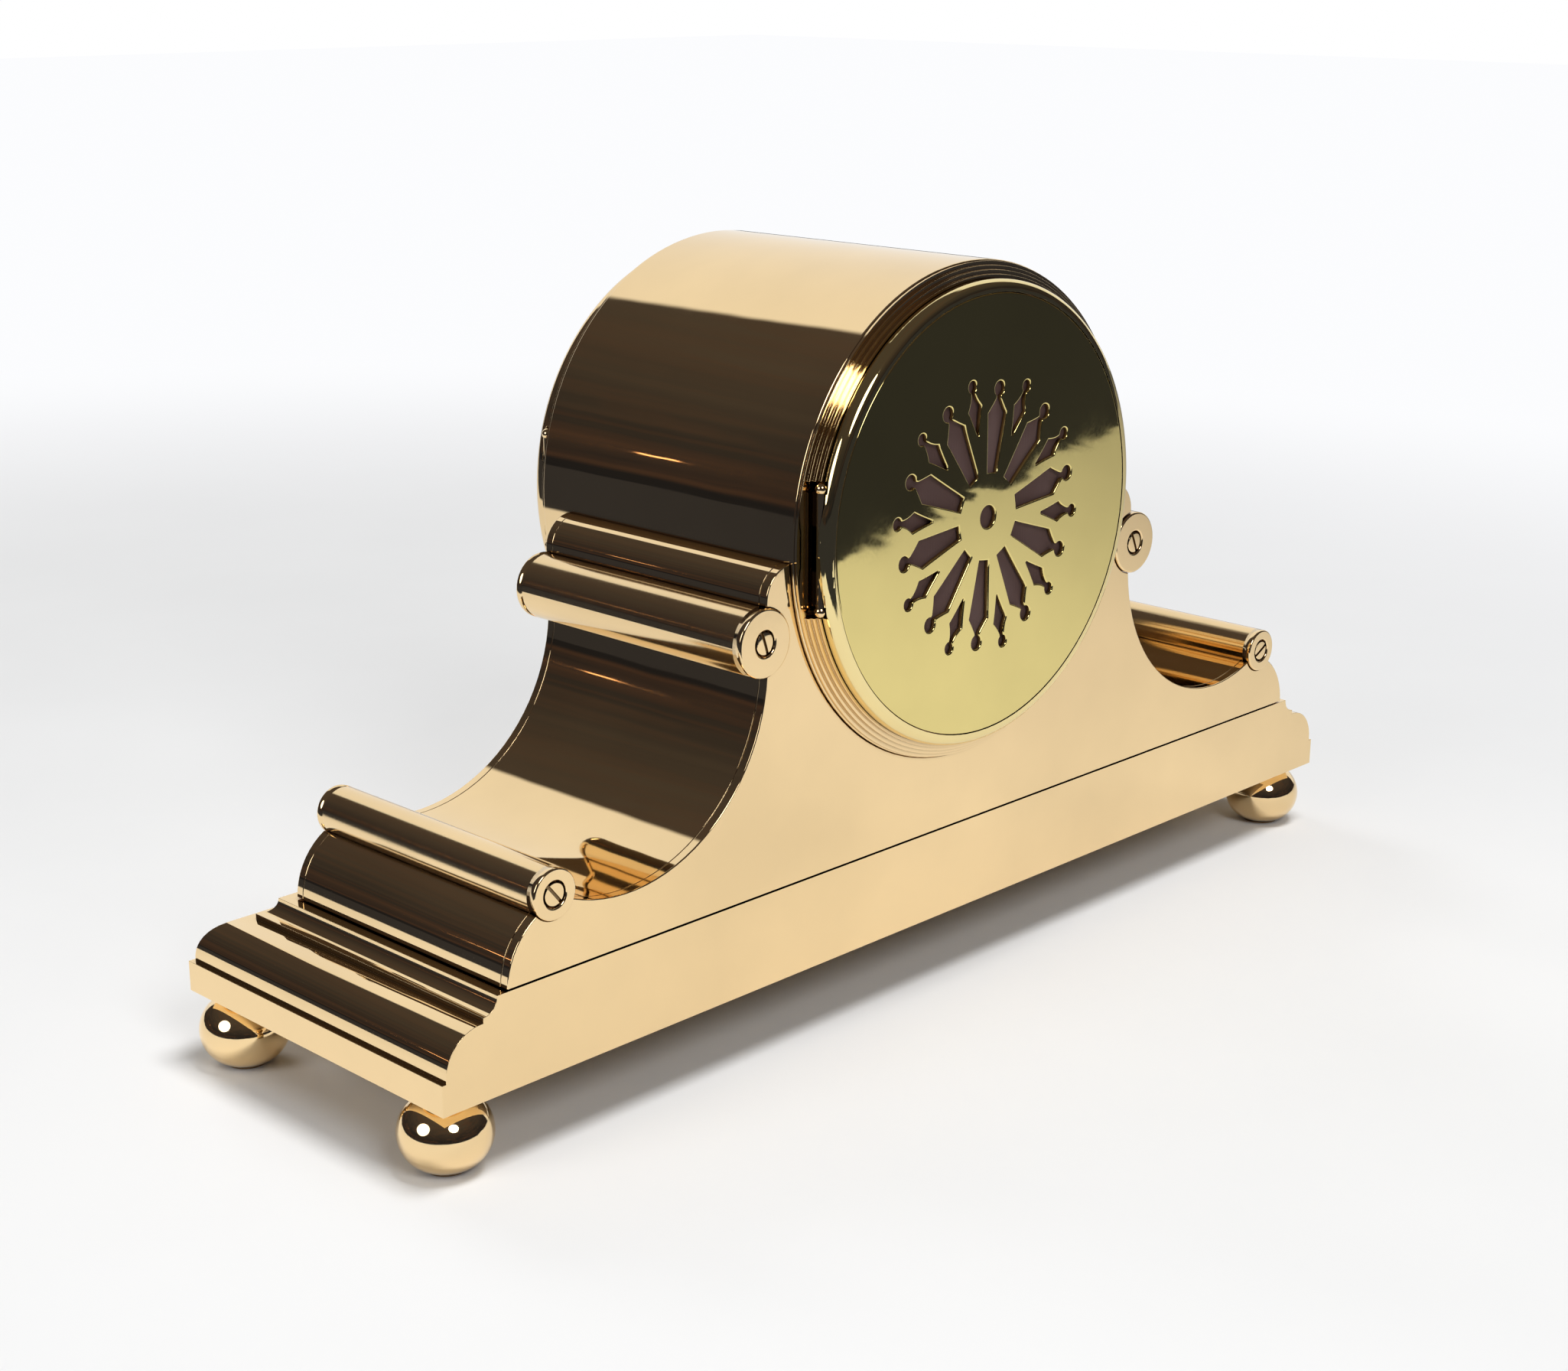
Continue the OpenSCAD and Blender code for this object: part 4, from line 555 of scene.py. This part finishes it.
# Screws, in mm
SCREW_HEAD_SHARE = 0.90   # of the solid's head, so that the recess shows round it
SCREW_DOME = 0.14
SCREW_DOME_STEPS = 8
SCREW_SLOT = 0.95
SCREW_SLOT_DEPTH = 0.8
SCREW_HEAD_REST = 0.4     # thickness of the head below the slot
SCREW_SHANK_SHARE = 0.5
SCREW_SUNK = 0.2          # reach of the two halves into the body below the slot
SCREW_BODY_SLACK = 0.03   # by which that body is slimmer than the head
SCREW_EDGE = 0.12         # rounding of the edges
SLOT_TURNS = (25, 118, 62, 24, 70, 19, -55, 39)  # in degrees, from -X to +X, front before rear
LATHE_STEPS = 48
SAME_PLACE = 1e-6         # points that are closer than this are one


def loose_boxes(node):
    """Corners of each separate solid of a node, in mm."""
    obj = nodes[node]
    bm = bmesh.new()
    bm.from_mesh(obj.data)
    bmesh.ops.remove_doubles(bm, verts=bm.verts, dist=SAME_PLACE)
    waiting = set(bm.verts)
    boxes = []
    while waiting:
        island = [waiting.pop()]
        for v in island:
            for edge in v.link_edges:
                other = edge.other_vert(v)
                if other in waiting:
                    waiting.remove(other)
                    island.append(other)
        places = [obj.matrix_world @ v.co / MM for v in island]
        boxes.append(tuple(Vector([pick(q[k] for q in places) for k in range(3)]) for pick in (min, max)))
    bm.free()
    return boxes


def lathe(bm, profile):
    """Turned surface about Z from points (radius, height)."""
    verts = [bm.verts.new((r, 0, z)) for r, z in profile]
    edges = [bm.edges.new(pair) for pair in zip(verts, verts[1:])]
    bmesh.ops.spin(bm, geom=verts + edges, cent=(0, 0, 0), axis=(0, 0, 1), angle=2 * math.pi,
                   steps=LATHE_STEPS, use_merge=True)
    bmesh.ops.remove_doubles(bm, verts=bm.verts, dist=SAME_PLACE)


def screw_mesh(head_r, length):
    """Domed slotted screw with its top at the origin, pointing down.

    Its head is two halves with the slot between them, on a body that takes a second, darker and rougher
    material from the slot's floor down, so that the slot's floor is darker than the head.
    """
    turns = [math.pi / 2 * i / SCREW_DOME_STEPS for i in range(SCREW_DOME_STEPS + 1)]
    dome = [(head_r * math.sin(t), -SCREW_DOME * (1 - math.cos(t))) for t in turns]
    slot_floor = -SCREW_SLOT_DEPTH
    sunk = slot_floor - SCREW_SUNK
    mesh = bpy.data.meshes.new("screw")
    whole = bmesh.new()
    for side in (1, -1):
        half = bmesh.new()
        lathe(half, dome + [(head_r, sunk), (0, sunk)])
        bmesh.ops.bisect_plane(half, geom=half.verts[:] + half.edges[:] + half.faces[:], clear_inner=True,
                               plane_co=(side * SCREW_SLOT / 2, 0, 0), plane_no=(side, 0, 0))
        bmesh.ops.holes_fill(half, edges=half.edges)
        part = bpy.data.meshes.new("half")
        half.to_mesh(part)
        half.free()
        whole.from_mesh(part)
        bpy.data.meshes.remove(part)
    body_r = head_r - SCREW_BODY_SLACK
    shank_r = head_r * SCREW_SHANK_SHARE
    under_head = slot_floor - SCREW_HEAD_REST
    bright = len(whole.faces)
    lathe(whole, [(0, slot_floor), (body_r, slot_floor), (body_r, under_head), (shank_r, under_head),
                  (shank_r, -length), (0, -length)])
    whole.faces.ensure_lookup_table()
    for face in whole.faces[bright:]:
        face.material_index = 1
    bmesh.ops.recalc_face_normals(whole, faces=whole.faces)
    for v in whole.verts:
        v.co *= MM
    whole.to_mesh(mesh)
    whole.free()
    return mesh


def rod_screw_pieces():
    """One slotted screw for each solid of rod_screws, at its place and with its slot turned."""
    boxes = sorted(loose_boxes("rod_screws"), key=lambda box: (round(box[0].x), box[0].y))
    for i, (low, high) in enumerate(boxes):
        head_r = (high.x - low.x) / 2 * SCREW_HEAD_SHARE
        rear = low.y > 0
        screw = bpy.data.objects.new("rod_screw_%d" % (i + 1), screw_mesh(head_r, high.y - low.y))
        screw.location = Vector(((low.x + high.x) / 2, high.y if rear else low.y, (low.z + high.z) / 2)) * MM
        outward = Quaternion((1, 0, 0), math.radians(-90 if rear else 90))
        slot_turn = Quaternion((0, 0, 1), math.radians(SLOT_TURNS[i % len(SLOT_TURNS)]))
        screw.rotation_mode = "QUATERNION"
        screw.rotation_quaternion = outward @ slot_turn
        smooth(screw)
        break_edges(screw, SCREW_EDGE)
        finish_piece(screw, turned, BODY_OF_NODE["rod_screws"], "rod_screws")
        screw.data.materials.append(raw_brass)


pierced_plate()
woven_cloth()
rod_screw_pieces()

# Table, in mm. What the brass sees of it ends at these lines: beyond them the room is dark
TABLE_END_X = 385         # past the near end of the clock
TABLE_END_SOFT = 30       # width of the soft edge there
TABLE_REAR_Y = 361        # behind the clock, where the edge runs aslant
TABLE_REAR_SLANT = 0.29
TABLE_REAR_SOFT = 8
TABLE_RAGGED = 90         # how far that edge wanders
TABLE_FOLDS = {"Scale": 22, "Detail": 8, "Roughness": 0.6}
TABLE_DIM_X = -120        # the table darkens from here towards -X
TABLE_DIM_SPAN = 700
TABLE_DIM = 0.35
ROOM_DARK = (0.034, 0.036, 0.048)
WHITE_FROM = (150, -150)  # the camera sees the table fade to white with the distance from here
WHITE_START = 380
WHITE_END = 1150
FAR_WHITE = (0.97, 0.975, 0.99)
TABLE_MOTTLE = {"Scale": 6, "Detail": 5}
TABLE_PALE = 0.86
TABLE_DARKER = 0.84
TABLE_ROUGH = 0.75
TABLE_SPECULAR = 0.1
FLOOR_HALF = 6000


def seen_directly(tree):
    """1 for the camera's rays, also through glass."""
    path = tree.nodes.new("ShaderNodeLightPath")
    return link_math(tree, "MAXIMUM", path.outputs["Is Camera Ray"], path.outputs["Is Transmission Ray"])


def off_table(tree, place, x, y):
    """1 past the table's lines, and rising towards TABLE_DIM on its far left."""
    folds = noise(tree, place, **TABLE_FOLDS)
    ragged = link_math(tree, "MULTIPLY", link_math(tree, "SUBTRACT", folds, 0.5), TABLE_RAGGED * MM)
    slanted = link_math(tree, "ADD", link_math(tree, "MULTIPLY", x, TABLE_REAR_SLANT), y)
    slanted = link_math(tree, "ADD", slanted, ragged)
    half_soft = TABLE_REAR_SOFT / 2
    past_end = fade(tree, x, TABLE_END_X * MM, (TABLE_END_X + TABLE_END_SOFT) * MM)
    past_rear = fade(tree, slanted, (TABLE_REAR_Y - half_soft) * MM, (TABLE_REAR_Y + half_soft) * MM)
    away = link_math(tree, "MULTIPLY", x, -1)
    dim = fade(tree, away, -TABLE_DIM_X * MM, (TABLE_DIM_SPAN - TABLE_DIM_X) * MM)
    dim = link_math(tree, "MULTIPLY", dim, TABLE_DIM)
    return link_math(tree, "MAXIMUM", link_math(tree, "MAXIMUM", past_end, past_rear), dim)


def far_off(tree, x, y):
    """0 round the clock and 1 far from it."""
    dx = link_math(tree, "SUBTRACT", x, WHITE_FROM[0] * MM)
    dy = link_math(tree, "SUBTRACT", y, WHITE_FROM[1] * MM)
    square = link_math(tree, "ADD", link_math(tree, "MULTIPLY", dx, dx), link_math(tree, "MULTIPLY", dy, dy))
    return fade(tree, link_math(tree, "SQRT", square), WHITE_START * MM, WHITE_END * MM)


def table_material():
    """Pale table that takes the clock's shadow. Mirrors lose it past its lines, and far off it is white."""
    material, tree, shader = new_material("table")
    set_inputs(shader, Roughness=TABLE_ROUGH, Specular_IOR_Level=TABLE_SPECULAR)
    place = coordinates(tree, "Object")
    mottle = noise(tree, place, **TABLE_MOTTLE)
    tree.links.new(ramp(tree, mottle, TABLE_DARKER, TABLE_PALE), shader.inputs["Base Color"])
    split = tree.nodes.new("ShaderNodeSeparateXYZ")
    tree.links.new(place, split.inputs[0])
    x, y = split.outputs["X"], split.outputs["Y"]
    path = tree.nodes.new("ShaderNodeLightPath")
    mirrored = link_math(tree, "GREATER_THAN", path.outputs["Is Glossy Ray"], seen_directly(tree))
    lost = link_math(tree, "MULTIPLY", off_table(tree, place, x, y), mirrored)
    room = add(tree, "ShaderNodeEmission", Color=(*ROOM_DARK, 1))
    near = mixed_shaders(tree, lost, shader.outputs[0], room.outputs[0])
    white = add(tree, "ShaderNodeEmission", Color=(*FAR_WHITE, 1))
    faded = link_math(tree, "MULTIPLY", far_off(tree, x, y), seen_directly(tree))
    surface = mixed_shaders(tree, faded, near, white.outputs[0])
    tree.links.new(surface, tree.nodes["Material Output"].inputs["Surface"])
    return material


def floor():
    half = FLOOR_HALF * MM
    mesh = bpy.data.meshes.new("floor")
    mesh.from_pydata([(-half, -half, 0), (half, -half, 0), (half, half, 0), (-half, half, 0)], [], [range(4)])
    obj = bpy.data.objects.new("floor", mesh)
    bpy.context.scene.collection.objects.link(obj)
    mesh.materials.append(table_material())


floor()

# Room, as the brass sees it. Azimuths and elevations are in degrees
BACKDROP_LEFT = -91
BACKDROP_RIGHT = -188
BACKDROP_TOP = 55
BACKDROP_SOFT = 0.02      # half width of its soft edges, about in radians
BACKDROP_TOP_SOFT = 0.03
BACKDROP = (0.92, 0.92, 0.92)
ROOM_LOW = (0.014, 0.015, 0.021)
ROOM_HIGH = (0.070, 0.060, 0.056)
ROOM_AT = (0.22, 0.98)    # heights between which the room grows paler
PANELS = {"Scale": 1.4, "Detail": 4}
PANEL_SWAY = 0.45         # by which the panels shift those heights
BOARDS = {"Scale": 0.9, "Detail": 3, "Distortion": 1.6}
ROOM_STRETCH = (2, 2, 9)  # panels and boards lie level
ROOM_WOOD = (0.085, 0.050, 0.038)
WOOD_AT = (0.45, 0.75)
WOOD_MOST = 0.6
LAMP_AZIMUTH = -46.6      # a small warm lamp far across the room
LAMP_ELEVATION = 9
LAMP_WIDTH = 1.1
LAMP_HEIGHT = 0.4
LAMP_LIGHT = (2.8, 1.5, 0.8)
AMBIENT = (0.97, 0.985, 1.0)
AMBIENT_LEVEL = 0.15
WHITE = (1, 1, 1)


def towards(tree, direction, azimuth):
    """Cosine between a direction and the level one at azimuth."""
    node = tree.nodes.new("ShaderNodeVectorMath")
    node.operation = "DOT_PRODUCT"
    node.inputs[1].default_value = (math.cos(math.radians(azimuth)), math.sin(math.radians(azimuth)), 0)
    tree.links.new(direction, node.inputs[0])
    return node.outputs["Value"]


def within(tree, value, middle, half):
    """1 where value is no further than half from middle."""
    off = link_math(tree, "ABSOLUTE", link_math(tree, "SUBTRACT", value, middle))
    return link_math(tree, "LESS_THAN", off, half)


def room_tone(tree, direction, up):
    """Dark room, paler towards its ceiling, with soft level streaks like panelling and with brown boards."""
    level = stretched(tree, direction, ROOM_STRETCH)
    panels = noise(tree, level, **PANELS)
    height = link_math(tree, "ADD", up, link_math(tree, "MULTIPLY", panels, PANEL_SWAY))
    plain = ramp(tree, height, ROOM_LOW, ROOM_HIGH, ROOM_AT)
    boards = noise(tree, level, **BOARDS)
    return mixed(tree, ramp(tree, boards, 0.0, WOOD_MOST, WOOD_AT), plain, ROOM_WOOD)


def on_backdrop(tree, direction, up):
    """1 where the pale backdrop stands."""
    left = fade(tree, towards(tree, direction, BACKDROP_LEFT - 90), -BACKDROP_SOFT, BACKDROP_SOFT)
    right = fade(tree, towards(tree, direction, BACKDROP_RIGHT + 90), -BACKDROP_SOFT, BACKDROP_SOFT)
    top = math.sin(math.radians(BACKDROP_TOP))
    above = fade(tree, up, top - BACKDROP_SOFT, top + BACKDROP_TOP_SOFT)
    below_top = link_math(tree, "SUBTRACT", 1, above)
    return link_math(tree, "MULTIPLY", link_math(tree, "MULTIPLY", left, right), below_top)


def on_lamp(tree, direction, up):
    """1 where the lamp shines."""
    beside = towards(tree, direction, LAMP_AZIMUTH + 90)
    across = within(tree, beside, 0, math.sin(math.radians(LAMP_WIDTH / 2)))
    along = within(tree, up, math.sin(math.radians(LAMP_ELEVATION)), math.sin(math.radians(LAMP_HEIGHT / 2)))
    ahead = link_math(tree, "GREATER_THAN", towards(tree, direction, LAMP_AZIMUTH), 0)
    return link_math(tree, "MULTIPLY", link_math(tree, "MULTIPLY", across, along), ahead)


def world():
    """White for the camera, also through glass. The brass sees a dark room with a pale backdrop."""
    scene_world = bpy.data.worlds.new("room")
    bpy.context.scene.world = scene_world
    scene_world.use_nodes = True
    tree = scene_world.node_tree
    direction = coordinates(tree, "Generated")
    split = tree.nodes.new("ShaderNodeSeparateXYZ")
    tree.links.new(direction, split.inputs[0])
    up = split.outputs["Z"]
    tone = mixed(tree, on_backdrop(tree, direction, up), room_tone(tree, direction, up), BACKDROP)
    tone = mixed(tree, on_lamp(tree, direction, up), tone, LAMP_LIGHT)
    reflected = tree.nodes["Background"]
    tree.links.new(tone, reflected.inputs["Color"])
    ambient = add(tree, "ShaderNodeBackground", Color=(*AMBIENT, 1), Strength=AMBIENT_LEVEL)
    white = add(tree, "ShaderNodeBackground", Color=(*WHITE, 1))
    path = tree.nodes.new("ShaderNodeLightPath")
    unseen = mixed_shaders(tree, path.outputs["Is Glossy Ray"], ambient.outputs[0], reflected.outputs[0])
    surface = mixed_shaders(tree, seen_directly(tree), unseen, white.outputs[0])
    tree.links.new(surface, tree.nodes["World Output"].inputs["Surface"])


def softbox(name, at, aim, size, power, in_brass=True):
    """Round area light, in mm and watts. With in_brass off, it lights the scene, but no mirror shows it."""
    light = bpy.data.lights.new(name, "AREA")
    light.shape = "DISK"
    light.size = size * MM
    light.energy = power
    obj = bpy.data.objects.new(name, light)
    obj.location = Vector(at) * MM
    obj.rotation_mode = "QUATERNION"
    obj.rotation_quaternion = (Vector(aim) * MM - obj.location).to_track_quat("-Z", "Y")
    obj.visible_glossy = in_brass
    bpy.context.scene.collection.objects.link(obj)


world()
softbox("top_box", at=(-120, 480, 1900), aim=(0, 60, 0), size=700, power=25, in_brass=False)
softbox("front_box", at=(-150, -1500, 1050), aim=(0, -60, 60), size=800, power=5.5, in_brass=False)
softbox("side_box", at=(1560, -160, 760), aim=(150, 0, 60), size=860, power=6)
softbox("rear_box", at=(560, 1500, 1230), aim=(0, 0, 80), size=740, power=11)

# Camera
camera_data = bpy.data.cameras.new("camera")
camera_data.sensor_width = CAMERA_SENSOR
camera_data.lens = CAMERA_LENS
camera = bpy.data.objects.new("camera", camera_data)
camera.location = CAMERA_AT
camera.rotation_mode = "QUATERNION"
aimed = (CAMERA_AIM - CAMERA_AT).to_track_quat("-Z", "Y")
camera.rotation_quaternion = aimed @ Quaternion((0, 0, 1), CAMERA_ROLL)
bpy.context.scene.collection.objects.link(camera)
bpy.context.scene.camera = camera
bpy.context.scene.view_settings.view_transform = "Standard"
